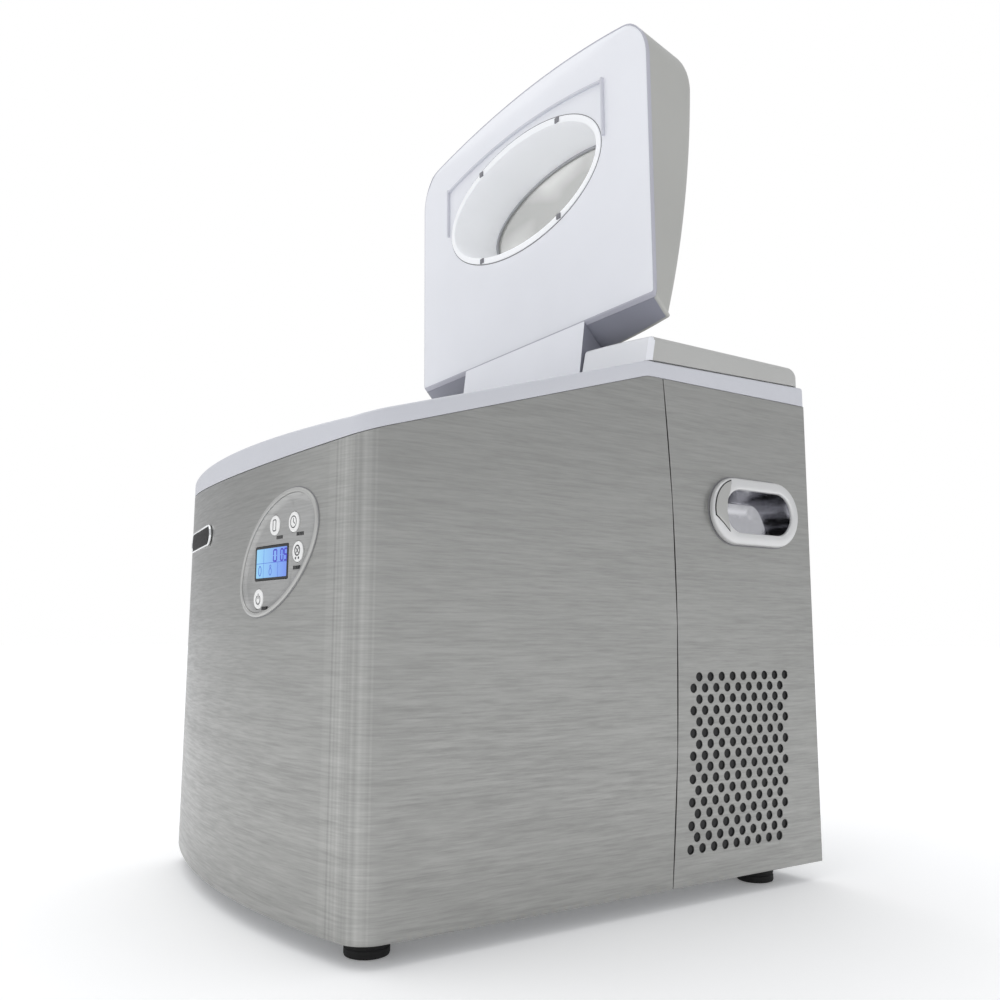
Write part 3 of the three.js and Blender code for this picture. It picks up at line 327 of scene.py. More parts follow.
# A darker copy of the white moulding for the rib: painted shade, like that on the rib's underside.
RIB_SHADED_GREY = moulded("rib_painted_shade", (0.83, 0.835, 0.865), 0.45, 0.01)
BEZEL = moulded("bezel_satin", (0.74, 0.74, 0.73), 0.36, 0.01, 900.0, 0.01, Metallic=0.7)
GRIP_SATIN = moulded("grip_satin", (0.86, 0.86, 0.86), 0.38, 0.01, 900.0, 0.01, Metallic=0.5)
BUTTON = moulded("button_plastic", (0.95, 0.95, 0.945), 0.35, 0.01)
BLACK = moulded("black_plastic", (0.10, 0.10, 0.105), 0.5, 0.10, 1200.0, 0.15)
GLOSS_BLACK = moulded("gloss_black", (0.045, 0.045, 0.05), 0.16, 0.05, 600.0, 0.02)
RUBBER = moulded("rubber", (0.075, 0.075, 0.075), 0.75, 0.15, 1500.0, 0.3)
SEAL = moulded("seal", (0.52, 0.52, 0.53), 0.6, 0.05)
PALE_SEAL = moulded("pale_seal", (0.66, 0.665, 0.68), 0.6, 0.03)
EDGE_GREY = moulded("lid_edge_grey", (0.72, 0.72, 0.76), 0.5, 0.02)
INK = moulded("ink", (0.24, 0.24, 0.25), 0.6, 0.05)
CLIP = moulded("clip", (0.50, 0.50, 0.52), 0.5, 0.05)
DIGIT = moulded("digit", (0.25, 0.20, 0.78), 0.4, 0.02)
DIGIT_PALE = moulded("digit_pale", (0.30, 0.42, 0.85), 0.4, 0.02)
ZINC = moulded("coated_sheet", (0.62, 0.63, 0.64), 0.45, 0.05, 300.0, 0.1, Metallic=0.7)
ALUMINIUM = moulded("aluminium", (0.74, 0.75, 0.76), 0.38, 0.04, 700.0, 0.1, Metallic=0.9)
COPPER = moulded("copper", (0.72, 0.45, 0.32), 0.3, 0.06, 400.0, 0.05, Metallic=1.0)
ENAMEL = moulded("black_enamel", (0.08, 0.08, 0.085), 0.25, 0.1, 200.0, 0.05)
BOARD = moulded("circuit_board", (0.17, 0.36, 0.20), 0.5, 0.1, 500.0, 0.05)
CHROME = plated("chrome")
GRIP_CHROME = plated("grip_chrome", (0.80, 0.80, 0.815), 0.17)
BADGE_BLACK = moulded("badge_black", (0.05, 0.05, 0.055), 0.42, 0.05, 600.0, 0.01, Specular_IOR_Level=0.06)
CLEAR = clear_plastic("clear_plastic", (0.72, 0.725, 0.71), (0.93, 0.93, 0.92))
SCREEN = lit_screen("lit_screen")

CAD_FINISHES = [
    (WHITE, "water_tub ice_basket water_tray ice_rake drain_spout"),
    (ZINC, "base_pan rear_panel bulkhead fan_motor"),
    (BLACK, "tray_motor water_pump ice_level_sensor fan_shroud fan_blades cord_inlet drain_cap"),
    (COPPER, "discharge_pipe suction_pipe filter_drier"),
    (ALUMINIUM, "evaporator condenser"),
    (ENAMEL, "compressor"),
    (BOARD, "control_board power_board"),
    (CHROME, "hinge_pin_left hinge_pin_right rear_screw_1 rear_screw_2 rear_screw_3 rear_screw_4"),
    (CLEAR, "water_hose"),
]
CAD_EDGE_ROUND = {"water_tub": 1.2, "ice_basket": 0.8, "evaporator": 0.8}
CAD_EDGE_ROUND |= {"water_tray": 0.5, "rear_panel": 0.3}


def finish_cad_nodes():
    for material, names in CAD_FINISHES:
        for name in names.split():
            made = frame["nodes"][name]
            made.data.materials.clear()
            made.data.materials.append(material)
            width = CAD_EDGE_ROUND.get(name)
            if width:
                bevel = made.modifiers.new("edge_round", "BEVEL")
                bevel.width = width * MM
                bevel.segments = 2
                bevel.angle_limit = math.radians(40)
                bevel.use_clamp_overlap = True


# ---------------------------------------------------------------------------------------------
# Mesh helpers
# ---------------------------------------------------------------------------------------------


def add_object(name, data):
    made = bpy.data.objects.new(name, data)
    bpy.context.scene.collection.objects.link(made)
    return made


def placed_mesh(name, shape, place):
    points, faces = shape
    mesh = bpy.data.meshes.new(name)
    mesh.from_pydata([place @ Vector(p) * MM for p in points], [], faces)
    return mesh


def piece(name, shape, material, body, stands_for=(), place=Matrix(), sharp=32.0):
    """A finished mesh piece from (points, faces), riding on a body."""
    mesh = placed_mesh(name, shape, place)
    made = bmesh.new()
    made.from_mesh(mesh)
    bmesh.ops.remove_doubles(made, verts=made.verts, dist=1e-6)
    triangles = [f for f in made.faces if len(f.verts) == 3]
    inner = [e for e in made.edges if len(e.link_faces) == 2]
    inner = [e for e in inner if all(len(f.verts) == 3 for f in e.link_faces)]
    bmesh.ops.beautify_fill(made, faces=triangles, edges=inner)
    bmesh.ops.recalc_face_normals(made, faces=made.faces)
    made.to_mesh(mesh)
    made.free()
    mesh.materials.append(material)
    smooth(mesh, sharp)
    obj = add_object(name, mesh)
    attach(obj, body)
    if stands_for:
        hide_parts(*stands_for)
    return obj


def smooth(mesh, sharp):
    mesh.shade_smooth()
    mesh.set_sharp_from_angle(angle=math.radians(sharp))


def loft(rings, wrap=False, caps=(True, True), closed=True):
    """Quads between rings of equal length. wrap joins the last ring to the first."""
    count = len(rings[0])
    points = [p for ring in rings for p in ring]
    faces = []
    pairs = [(j, j + 1) for j in range(len(rings) - 1)]
    if wrap:
        pairs.append((len(rings) - 1, 0))
    around = count if closed else count - 1
    for a, b in pairs:
        for i in range(around):
            k = (i + 1) % count
            faces.append((a * count + i, a * count + k, b * count + k, b * count + i))
    if not wrap and caps[0]:
        faces.append(tuple(reversed(range(count))))
    if not wrap and caps[1]:
        faces.append(tuple(range(len(points) - count, len(points))))
    return points, faces


def merged(*shapes):
    points, faces = [], []
    for more_points, more_faces in shapes:
        start = len(points)
        points += list(more_points)
        faces += [tuple(i + start for i in face) for face in more_faces]
    return points, faces


def plate(outline, holes, levels, place):
    """A flat plate with holes. outline and holes give a loop of points at an inset into the
    material; levels are (height, inset) pairs from one face to the other; place makes 3-D points."""
    loops = [outline, *holes]
    points, faces = [], []
    starts = []
    for height, inset in levels:
        for loop in loops:
            starts.append((len(points), len(loop(inset))))
            points += [place(u, v, height) for u, v in loop(inset)]
    per_level = len(loops)
    for level in range(len(levels) - 1):
        for k in range(per_level):
            a, count = starts[level * per_level + k]
            b, _ = starts[(level + 1) * per_level + k]
            for i in range(count):
                j = (i + 1) % count
                faces.append((a + i, a + j, b + j, b + i))
    for level in (0, len(levels) - 1):
        inset = levels[level][1]
        flat = [[Vector((u, v, 0)) for u, v in loop(inset)] for loop in loops]
        start = starts[level * per_level][0]
        faces += [tuple(i + start for i in face) for face in geometry.tessellate_polygon(flat)]
    return points, faces


def cut(obj, *cutters):
    """Cuts the cutters' shapes out of obj, then removes the cutters."""
    for cutter in cutters:
        tool = obj.modifiers.new("cut", "BOOLEAN")
        tool.operation = "DIFFERENCE"
        tool.solver = "EXACT"
        tool.object = cutter
    bpy.context.view_layer.update()
    shown = obj.evaluated_get(bpy.context.evaluated_depsgraph_get())
    mesh = bpy.data.meshes.new_from_object(shown)
    obj.modifiers.clear()
    obj.data = mesh
    smooth(mesh, 32.0)
    for cutter in cutters:
        bpy.data.objects.remove(cutter)
    return obj


def cutter(shape, place=Matrix()):
    mesh = placed_mesh("cutter", shape, place)
    made = bmesh.new()
    made.from_mesh(mesh)
    bmesh.ops.recalc_face_normals(made, faces=made.faces)
    made.to_mesh(mesh)
    made.free()
    return add_object("cutter", mesh)


def block(x0, x1, y0, y1, z0, z1):
    low = [(x0, y0, z0), (x1, y0, z0), (x1, y1, z0), (x0, y1, z0)]
    return loft([low, [(x, y, z1) for x, y, _ in low]])


def arc(cx, cy, radius, start, end, steps):
    angles = [math.radians(start + (end - start) * i / steps) for i in range(steps + 1)]
    return [(cx + radius * math.cos(a), cy + radius * math.sin(a)) for a in angles]


def stadium(cx, cy, length, height, steps=16):
    radius = height / 2
    reach = length / 2 - radius
    return arc(cx + reach, cy, radius, -90, 90, steps) + arc(cx - reach, cy, radius, 90, 270, steps)


def rounded_rectangle(x0, x1, y0, y1, radius, steps=8):
    return (
        arc(x1 - radius, y1 - radius, radius, 0, 90, steps)
        + arc(x0 + radius, y1 - radius, radius, 90, 180, steps)
        + arc(x0 + radius, y0 + radius, radius, 180, 270, steps)
        + arc(x1 - radius, y0 + radius, radius, 270, 360, steps)
    )


def ellipse(cx, cy, a, b, tilt=0.0, steps=96):
    loop = []
    for i in range(steps):
        t = 2 * math.pi * i / steps
        p, q = a * math.cos(t), b * math.sin(t)
        x = cx + p * math.cos(tilt) - q * math.sin(tilt)
        loop.append((x, cy + p * math.sin(tilt) + q * math.cos(tilt)))
    return loop


def turned(section, steps=48):
    """A turned solid about Z from (radius, z) pairs, with its ends capped."""
    return loft([[(x, y, z) for x, y in ellipse(0, 0, r, r, 0, steps)] for r, z in section])


def lerp(a, b, t):
    return a + (b - a) * t


def clamp(value, low=0.0, high=1.0):
    return max(low, min(high, value))


def scaled(loop, centre, scale):
    """A loop drawn towards a centre."""
    return [(lerp(centre[0], u, scale), lerp(centre[1], v, scale)) for u, v in loop]


def between(start, end, share, height):
    """A loop part of the way from one loop to another, at the height of each (x, y)."""
    loop = []
    for (x, y, *_), (to_x, to_y, *_) in zip(start, end):
        px, py = lerp(x, to_x, share), lerp(y, to_y, share)
        loop.append((px, py, height(px, py)))
    return loop


def ramp(points, at):
    """Straight-line interpolation in a list of (at, value) pairs."""
    for (a, low), (b, high) in zip(points, points[1:]):
        if at <= b:
            return lerp(low, high, clamp((at - a) / (b - a)))
    return points[-1][1]


# ---------------------------------------------------------------------------------------------
# Profiles shared by several pieces
# ---------------------------------------------------------------------------------------------


def bow_y(x, inset=0.0):
    return BOW_CENTRE_Y - math.sqrt((BOW_RADIUS - inset) ** 2 - x**2)


def steel_top(y):
    return STEEL_TOP + min(0.0, y - KINK_Y) * FALL


def seam_y(z):
    return SEAM_Y - (z - SEAM_Z) ** 2 / (2 * SEAM_RADIUS)


def rim_top(y):
    if y > KINK_Y + 1:
        return lerp(RIM_TOP, RIM_REAR_TOP, (y - KINK_Y - 1) / (REAR_Y - KINK_Y - 1))
    return max(RIM_LIP_TOP, RIM_TOP + (y - KINK_Y - 1) * FALL)


def front_corner(corner):
    """Centre of a front corner's round in plan, and half the bow's angle in degrees."""
    cx = HALF_WIDTH - corner
    reach = BOW_RADIUS - corner
    return cx, BOW_CENTRE_Y - math.sqrt(reach**2 - cx**2), math.degrees(math.asin(cx / reach))


def plan_loop(corner, rear_y, rear_corner, bow_steps=40, side_steps=24):
    """The body's plan, counterclockwise, as (x, y, normal x, normal y): straight sides, a bowed
    front with round corners, and a straight rear with small round corners."""
    cx, cy, bow = front_corner(corner)
    loop = []

    def turn(x, y, radius, start, end, steps):
        for (px, py), (nx, ny) in zip(arc(x, y, radius, start, end, steps), arc(0, 0, 1, start, end, steps)):
            loop.append((px, py, nx, ny))

    def run(x0, y0, x1, y1, nx, ny, steps):
        for i in range(1, steps):
            loop.append((lerp(x0, x1, i / steps), lerp(y0, y1, i / steps), nx, ny))

    inner_x, inner_y = HALF_WIDTH - rear_corner, rear_y - rear_corner
    turn(inner_x, inner_y, rear_corner, 0, 90, 4)
    run(inner_x, rear_y, -inner_x, rear_y, 0, 1, side_steps)
    turn(-inner_x, inner_y, rear_corner, 90, 180, 4)
    run(-HALF_WIDTH, inner_y, -HALF_WIDTH, cy, -1, 0, side_steps)
    turn(-cx, cy, corner, 180, 270 - bow, 12)
    turn(0, BOW_CENTRE_Y, BOW_RADIUS, 270 - bow, 270 + bow, bow_steps)
    turn(cx, cy, corner, 270 + bow, 360, 12)
    run(HALF_WIDTH, cy, HALF_WIDTH, inner_y, 1, 0, side_steps)
    tidy = []
    for point in loop:
        if not tidy or math.hypot(point[0] - tidy[-1][0], point[1] - tidy[-1][1]) > 0.01:
            tidy.append(point)
    return tidy


def inward(point, inset):
    x, y, nx, ny = point
    return x - nx * inset, y - ny * inset


def on_side(side, depth, outline):
    """An outline of (y, z) points, a depth out of one of the body's flat sides."""
    return [(side * (HALF_WIDTH + depth), y, z) for y, z in outline]


def ray_to(loop, centre, toward):
    """Where the ray from centre through toward leaves a closed loop of points."""
    dx, dy = toward[0] - centre[0], toward[1] - centre[1]
    best = None
    for (ax, ay), (bx, by) in zip(loop, loop[1:] + loop[:1]):
        ex, ey = bx - ax, by - ay
        cross = dx * ey - dy * ex
        if abs(cross) < 1e-12:
            continue
        t = ((ax - centre[0]) * ey - (ay - centre[1]) * ex) / cross
        s = ((ax - centre[0]) * dy - (ay - centre[1]) * dx) / cross
        if t > 0 and -1e-9 <= s <= 1 + 1e-9 and (best is None or t > best):
            best = t
    return centre[0] + dx * best, centre[1] + dy * best


# ---------------------------------------------------------------------------------------------
# Steel body
# ---------------------------------------------------------------------------------------------


def wrap_columns():
    """Plan of the front wrap from its right seam round the front to its left seam. A side point is
    (side, share of the way from the corner to the seam); a front point has its own place."""
    cx, cy, bow = front_corner(BODY_CORNER)
    kink_share = (KINK_Y - cy) / (seam_y(STEEL_TOP) - cy)
    shares = sorted([i / 16 for i in range(1, 16)] + [kink_share, 1.0], reverse=True)
    columns = [("side", 1, share) for share in shares]
    for centre, radius, start, end, steps in (
        ((cx, cy), BODY_CORNER, 0, bow - 90, 16),
        ((0, BOW_CENTRE_Y), BOW_RADIUS, bow - 90, -90 - bow, 60),
        ((-cx, cy), BODY_CORNER, -90 - bow, -180, 16),
    ):
        at = arc(*centre, radius, start, end, steps)
        out = arc(0, 0, 1, start, end, steps)
        first = 0 if centre[0] > 0 else 1
        columns += [("front", *p, *n) for p, n in list(zip(at, out))[first:]]
    columns += [("side", -1, share) for share in reversed(shares)]
    return columns, cy


def front_wrap():
    """The bowed sheet from seam to seam, with the control panel's opening cut out."""
    columns, corner_y = wrap_columns()
    rows = [0, 0.004, 0.25, 0.5, 0.75, 0.996, 1]  # shares of the sheet's height

    def column_point(column, row, inset):
        if column[0] == "side":
            _, side, share = column
            y = lerp(corner_y, seam_y(STEEL_TOP), share)
            for _ in range(4):
                z = lerp(STEEL_BOTTOM, steel_top(y), row)
                y = lerp(corner_y, seam_y(z), share)
            return side * (HALF_WIDTH - inset), y, z
        _, x, y, nx, ny = column
        return x - nx * inset, y - ny * inset, lerp(STEEL_BOTTOM, steel_top(y), row)

    rings = []
    for row in rows:
        outer_inset = EDGE_EASE if row in (0, 1) else 0.0
        outer = [column_point(c, row, outer_inset) for c in columns]
        inner = [column_point(c, row, SHEET) for c in reversed(columns)]
        rings.append(outer + inner)
    shape = loft(rings)
    made = piece("front_wrap_skin", shape, STEEL, "cabinet", ["front_wrap_panel"])
    opening = ellipse(0, 0, PANEL_A + GAP, PANEL_B + GAP, PANEL_TILT)
    hole = [[(x, y, z) for x, z in opening] for y in (-20, 20)]
    return cut(made, cutter(loft(hole), on_front(PANEL_X, PANEL_Z)))


def vent_centres():
    """Centres of the staggered vents as (y, z); each row keeps its distance from the seam."""
    for row in range(VENT_ROWS):
        shift = VENT_PITCH_Y / 4 if row % 2 == 0 else -VENT_PITCH_Y / 4
        for column in range(VENT_COLUMNS):
            z = VENT_Z + ((VENT_ROWS - 1) / 2 - row) * VENT_PITCH_Z
            yield seam_y(z) + VENT_FROM_SEAM + shift + (column - (VENT_COLUMNS - 1) / 2) * VENT_PITCH_Y, z


def side_skin(name, side):
    """A flat side sheet with the vents and the grip's hole through it."""
    def outline(inset):
        zs = [lerp(STEEL_BOTTOM + inset, STEEL_TOP - inset, i / 32) for i in range(33)]
        seam = [(seam_y(z) + 0.9 + inset, z) for z in zs]
        return seam + [(REAR_Y - inset, zs[-1]), (REAR_Y - inset, zs[0])]

    def round_hole(y, z):
        return lambda inset: ellipse(y, z, VENT_RADIUS + inset, VENT_RADIUS + inset, 0, 20)

    def grip_hole(inset):
        return stadium(GRIP_Y, GRIP_Z, GRIP_OPEN_LENGTH + 6 + inset * 2, GRIP_OPEN_HEIGHT + 6 + inset * 2)

    holes = [grip_hole] + [round_hole(y, z) for y, z in vent_centres()]
    levels = [(HALF_WIDTH - SHEET, 0), (HALF_WIDTH - 0.3, 0), (HALF_WIDTH, 0.3)]
    shape = plate(outline, holes, levels, lambda y, z, x: (side * x, y, z))
    return piece(name, shape, STEEL, "cabinet", [name.replace("skin", "panel")])


def shade_sheet(name, side, low, high, radius, steps, levels):
    """A black sheet behind a side panel with a softened border, between low and high as (y, z): painted
    shade behind the panel's openings.
    """
    loops = []
    (y0, z0), (y1, z1) = low, high
    for depth, inset in levels:
        outline = rounded_rectangle(y0 + inset, y1 - inset, z0 + inset, z1 - inset, radius, steps)
        loops.append(on_side(side, -depth, outline))
    return piece(name, loft(loops), BLACK, "cabinet", [])


def seam_backing(name, side):
    """A black sheet behind the seam between the front wrap and a side panel: painted shade, so that the seam
    reads as a continuous dark line.
    """
    low, high = (SEAM_Y - 22, STEEL_BOTTOM + 3), (SEAM_Y + 5, STEEL_TOP - 3)
    return shade_sheet(name, side, low, high, 2, 4, ((1.4, 0.6), (1.7, 0.0), (2.6, 0.0)))


def vent_screen(name, side):
    """A black sheet behind a side panel's vents: painted shade, so that the vents read as dark holes."""
    levels = ((1.5, 1.5), (1.9, 0.4), (2.6, 0.0), (3.4, 0.0))
    return shade_sheet(name, side, (66, 33), (186, 170), 6, 6, levels)


def foot(name, x, y):
    """A round foot with a groove below its shoulder."""
    section = [(0.01, 0), (12.6, 0), (13.9, 0.5), (14.3, 1.6), (14.3, 5), (13.8, 5.6), (13.8, 6.4)]
    section += [(14.3, 7), (14.3, 12), (13.9, 13.2), (12.8, 13.9), (0.01, 13.9)]
    place = Matrix.Translation((x, y, 0))
    return piece(name + "_moulded", turned(section), RUBBER, "cabinet", [name], place)


def grip(name, side):
    """A carrying grip: a wide satin face round an opening, and a deep bright cup behind it."""
    length_out = GRIP_LENGTH - GRIP_OPEN_LENGTH
    height_out = GRIP_HEIGHT - GRIP_OPEN_HEIGHT
    # (depth, growth in length, growth in height, shift to the rear, shift up) from the opening
    outside = ((0.1, 1.2), (0.9, 0.0), (2.6, 0.2), (4.2, 1.0), (5.2, 2.6), (5.7, 5.0))
    lip = ((6.1, 8.0), (6.1, 3.0), (5.8, 1.4), (5.0, 0.5), (3.6, 0.0))
    section = [(depth, length_out - inset, height_out - inset, 0.0, 0.0) for depth, inset in outside]
    section += [(depth, grow, grow, GRIP_SHIFT, 0.0) for depth, grow in lip]
    section += [(-3.0, -0.8, -0.8, GRIP_SHIFT, 0.0), (-9.0, -2.0, -2.0, GRIP_SHIFT, 0.0)]
    section += [(-18.0, -6.0, -4.5, 2.2, 0.8), (-25.0, -12.0, -8.0, 2.0, 1.4)]
    section += [(-28.6, -19.0, -13.0, 1.8, 1.8), (-30.2, -27.0, -20.0, 1.6, 2.2)]
    section += [(-30.8, -40.0, -28.0, 1.6, 2.4)]
    bottom = len(section) - 1
    section += [(-33.6, -36.0, -24.0, 1.6, 2.4), (-33.0, -8.0, -6.0, 1.6, 1.4)]
    section += [(-6.0, 4.6, 4.6, 1.0, 0.0), (-0.6, 4.6, 4.6, 1.0, 0.0)]
    rings = []
    for depth, longer, higher, back, up in section:
        length, height = GRIP_OPEN_LENGTH + longer, GRIP_OPEN_HEIGHT + higher
        rings.append(on_side(side, depth, stadium(GRIP_Y + back, GRIP_Z + up, length, height, 20)))
    count = len(rings[0])
    points, faces = loft(rings, wrap=True)
    keep = [f for f in faces if not {bottom, bottom + 1} <= {i // count for i in f}]
    keep.append(tuple(range(bottom * count, (bottom + 1) * count)))
    keep.append(tuple(reversed(range((bottom + 1) * count, (bottom + 2) * count))))
    made = piece(name + "_chrome", (points, keep), GRIP_CHROME, "cabinet", [name], sharp=50.0)
    made.data.materials.append(GRIP_SATIN)
    satin_from = (HALF_WIDTH + 0.4) * MM
    for face in made.data.polygons:
        x = face.center.x
        if abs(x) > satin_from and x * face.normal.x > -0.2 * abs(x):
            face.material_index = 1
    grip_shade_ring(name, side)
    grip_step(name, side)
    grip_crescent(name, side)
    return made


def grip_shade_ring(name, side):
    """A grey seal ring under the edge of the grip's face, standing in for the dark line of shadow round it:
    painted shade.
    """
    loops = []
    for depth, grow in ((-0.2, 1.8), (0.25, 1.8), (0.45, 0.4), (-0.2, -1.0)):
        outline = stadium(GRIP_Y, GRIP_Z, GRIP_LENGTH + grow, GRIP_HEIGHT + grow, 20)
        loops.append(on_side(side, depth, outline))
    # The grey ring is painted shade round the grip's face.
    piece(name + "_gasket", loft(loops, wrap=True), SEAL, "cabinet", [])


def grip_step(name, side):
    """The finger step inside the cup: a ledge whose bright edge runs level and then curves down."""
    radius = GRIP_OPEN_HEIGHT / 2 - 1.2
    reach = GRIP_OPEN_LENGTH / 2 - 1.2 - radius
    crest, fall, fall_from, fall_over = 8.5, 26.0, 6.0, 20.0

    def floor_z(y):
        past = max(0.0, abs(y) - reach)
        return -math.sqrt(max(0.0, radius**2 - past**2))

    def crest_z(y):
        return min(crest - fall * clamp((y - fall_from) / fall_over) ** 2.2, -floor_z(y) - 0.2)

    ys = [lerp(-reach - radius + 1.5, 23.0, i / 40) for i in range(41)]
    ys = [y for y in ys if crest_z(y) > floor_z(y) + 0.8]
    outline = [(y, crest_z(y)) for y in ys] + [(y, floor_z(y)) for y in reversed(ys)]
    loops = []
    levels = ((-27.0, 1.0), (-11.0, 1.0), (-9.6, 0.985), (-8.9, 0.955), (-8.8, 0.92), (-10.5, 0.5))
    for depth, scale in levels:
        ring = [(GRIP_Y + GRIP_SHIFT + y, GRIP_Z + z) for y, z in scaled(outline, (-8.0, -5.0), scale)]
        loops.append(on_side(side, depth, ring))
    piece(name + "_step", loft(loops), GRIP_CHROME, "cabinet", [], sharp=50.0)


def grip_crescent(name, side):
    """The swelling at the grip's front end: a low satin crescent on a black bed, whose rim round it is
    painted shade.
    """
    margin = 1.6
    radius = GRIP_HEIGHT / 2 - margin
    cy = GRIP_Y - GRIP_LENGTH / 2 + margin + radius
    inner = [(-17.0, -11.0), (-9.6, -17.5), (-11.6, -8.0), (-12.6, 0.0), (-11.6, 8.0)]
    inner += [(-8.0, 16.5), (-7.2, 21.0)]
    outline = arc(cy, GRIP_Z, radius, 106, 192, 24) + [(cy + y, GRIP_Z + z) for y, z in inner]
    middle = (cy - 17.0, GRIP_Z + 4.0)
    # The black bed shows as a dark rim round the crescent: painted shade.
    for label, material, levels in (
        ("_crescent_shade_bed", BLACK, [(4.0, 1.0), (6.15, 1.0), (6.22, 0.985)]),
        ("_crescent", BEZEL, [(4.4, 0.95), (6.3, 0.95), (6.6, 0.93), (6.75, 0.88), (6.8, 0.7)]),
    ):
        loops = [on_side(side, depth, scaled(outline, middle, scale)) for depth, scale in levels]
        piece(name + label, loft(loops), material, "cabinet", [], sharp=50.0)


# ---------------------------------------------------------------------------------------------
# Rim and rear cover
# ---------------------------------------------------------------------------------------------


def rim():
    """The moulded rim: its outside follows the body's plan and its inside the mouth."""
    centre = (0.0, -70.0)
    outer = plan_loop(BODY_CORNER, REAR_Y, 2.0)
    mouth = rounded_rectangle(-MOUTH_HALF, MOUTH_HALF, MOUTH_FRONT, MOUTH_REAR, MOUTH_CORNER, 12)
    marks = [(x, y) for x, y, _, _ in outer]
    both = sorted(marks + mouth, key=lambda p: math.atan2(p[1] - centre[1], p[0] - centre[0]))
    pairs = []
    for point in both:
        out = ray_to(marks, centre, point)
        inside = ray_to(mouth, centre, point)
        if not pairs or math.hypot(out[0] - pairs[-1][0][0], out[1] - pairs[-1][0][1]) > 0.3:
            pairs.append((out, inside))

    def ring(outset, inner_share, height):
        loop = []
        for out, inside in pairs:
            width = math.hypot(out[0] - inside[0], out[1] - inside[1])
            share = outset / width if inner_share is None else 1 - inner_share / width
            x, y = lerp(out[0], inside[0], share), lerp(out[1], inside[1], share)
            loop.append((x, y, height(y)))
        return loop

    def low(y):
        return steel_top(y) + GAP

    rings = [ring(0.0, None, low), ring(0.0, None, lambda y: rim_top(y) - RIM_ROUND)]
    for i in range(1, 5):
        t = math.radians(90 * i / 4)
        drop = RIM_ROUND * (1 - math.sin(t))
        rings.append(ring(RIM_ROUND * (1 - math.cos(t)), None, lambda y, d=drop: rim_top(y) - d))
    for share in (6.0, 12.0, 18.0):
        rings.append(ring(share, None, rim_top))
    for i in range(5):
        t = math.radians(90 * i / 4)
        drop = MOUTH_ROUND * (1 - math.cos(t))
        rings.append(ring(0, MOUTH_ROUND * (1 - math.sin(t)), lambda y, d=drop: rim_top(y) - d))
    rings.append(ring(0, 0.0, low))
    made = piece("top_rim_moulded", loft(rings, wrap=True), RIM_GREY, "cabinet", ["top_rim"])
    pocket = block(-POCKET_HALF, POCKET_HALF, MOUTH_REAR - 5, POCKET_REAR, POCKET_FLOOR + 1.5, 430)
    return cut(made, cutter(pocket))


def cover_top(x):
    return COVER_TOP - CROWN * x**2


def cover_plan():
    """The rear cover's plan, counterclockwise, as (x, y, normal x, normal y)."""
    front, rear = KINK_Y + 1 + COVER_FRONT_CORNER, REAR_Y - COVER_REAR_CORNER
    corners = [
        (HALF_WIDTH - COVER_REAR_CORNER, rear, COVER_REAR_CORNER),
        (COVER_REAR_CORNER - HALF_WIDTH, rear, COVER_REAR_CORNER),
        (COVER_FRONT_CORNER - HALF_WIDTH, front, COVER_FRONT_CORNER),
        (HALF_WIDTH - COVER_FRONT_CORNER, front, COVER_FRONT_CORNER),
    ]
    loop = []
    for index, (cx, cy, radius) in enumerate(corners):
        start = 90 * index
        at, out = arc(cx, cy, radius, start, start + 90, 10), arc(0, 0, 1, start, start + 90, 10)
        loop += [(*p, *n) for p, n in zip(at, out)]
        nx, ny = ((0, 1), (-1, 0), (0, -1), (1, 0))[index]
        to_x, to_y, to_radius = corners[(index + 1) % 4]
        for i in range(1, 20):
            x = lerp(cx + nx * radius, to_x + nx * to_radius, i / 20)
            y = lerp(cy + ny * radius, to_y + ny * to_radius, i / 20)
            loop.append((x, y, nx, ny))
    return loop


def rear_cover():
    """The rear top cover: leaning front shoulders, rounded edges and a crowned top."""
    front_y = KINK_Y + 1
    loop = cover_plan()

    def edge_radius(ny):
        return lerp(5.0, 3.5, -ny) if ny < 0 else lerp(5.0, 10.0, ny)

    def lean(y, z):
        share = clamp((front_y + 60 - y) / 60)
        return share * ramp([(RIM_TOP, 0), (RIM_TOP + 20, 4), (445, 9)], z)

    def wall_ring(share):
        made = []
        for x, y, _, ny in loop:
            z = lerp(rim_top(y) + 2 * GAP, cover_top(x) - edge_radius(ny), share)
            made.append((x, y + lean(y, z), z))
        return made

    def edge_ring(turn):
        made = []
        for point in loop:
            radius = edge_radius(point[3])
            z = cover_top(point[0]) - radius + radius * math.sin(turn)
            x, y = inward(point, radius * (1 - math.cos(turn)))
            made.append((x, y + lean(y, z), cover_top(x) - radius * (1 - math.sin(turn))))
        return made

    rings = [wall_ring(share) for share in (0.0, 0.5, 1.0)]
    rings += [edge_ring(math.radians(15 * i)) for i in range(1, 7)]
    middle = (0.0, (front_y + REAR_Y) / 2)
    last = rings[-1]
    for scale in (0.9, 0.7, 0.45, 0.2, 0.02):
        inner = [(lerp(middle[0], x, scale), lerp(middle[1], y, scale)) for x, y, _ in last]
        rings.append([(x, y, cover_top(x)) for x, y in inner])
    made = piece("rear_cover_moulded", loft(rings), COVER, "cabinet", ["rear_top_cover"])
    cut(made, cutter(block(-POCKET_HALF, POCKET_HALF, front_y - 12, POCKET_REAR, 380, 450)))
    # Painted light: faces turned to the front get the lighter copy of the cover's finish, and their rounded
    # corners plain white as a painted highlight.
    made.data.materials.append(COVER_LIT_FRONT)
    made.data.materials.append(WHITE)
    for face in made.data.polygons:
        if face.normal.y < -0.3 and face.center.y / MM < front_y + 14:
            face.material_index = 2 if abs(face.normal.x) > 0.3 else 1
    return made


# ---------------------------------------------------------------------------------------------
# Lid
# ---------------------------------------------------------------------------------------------

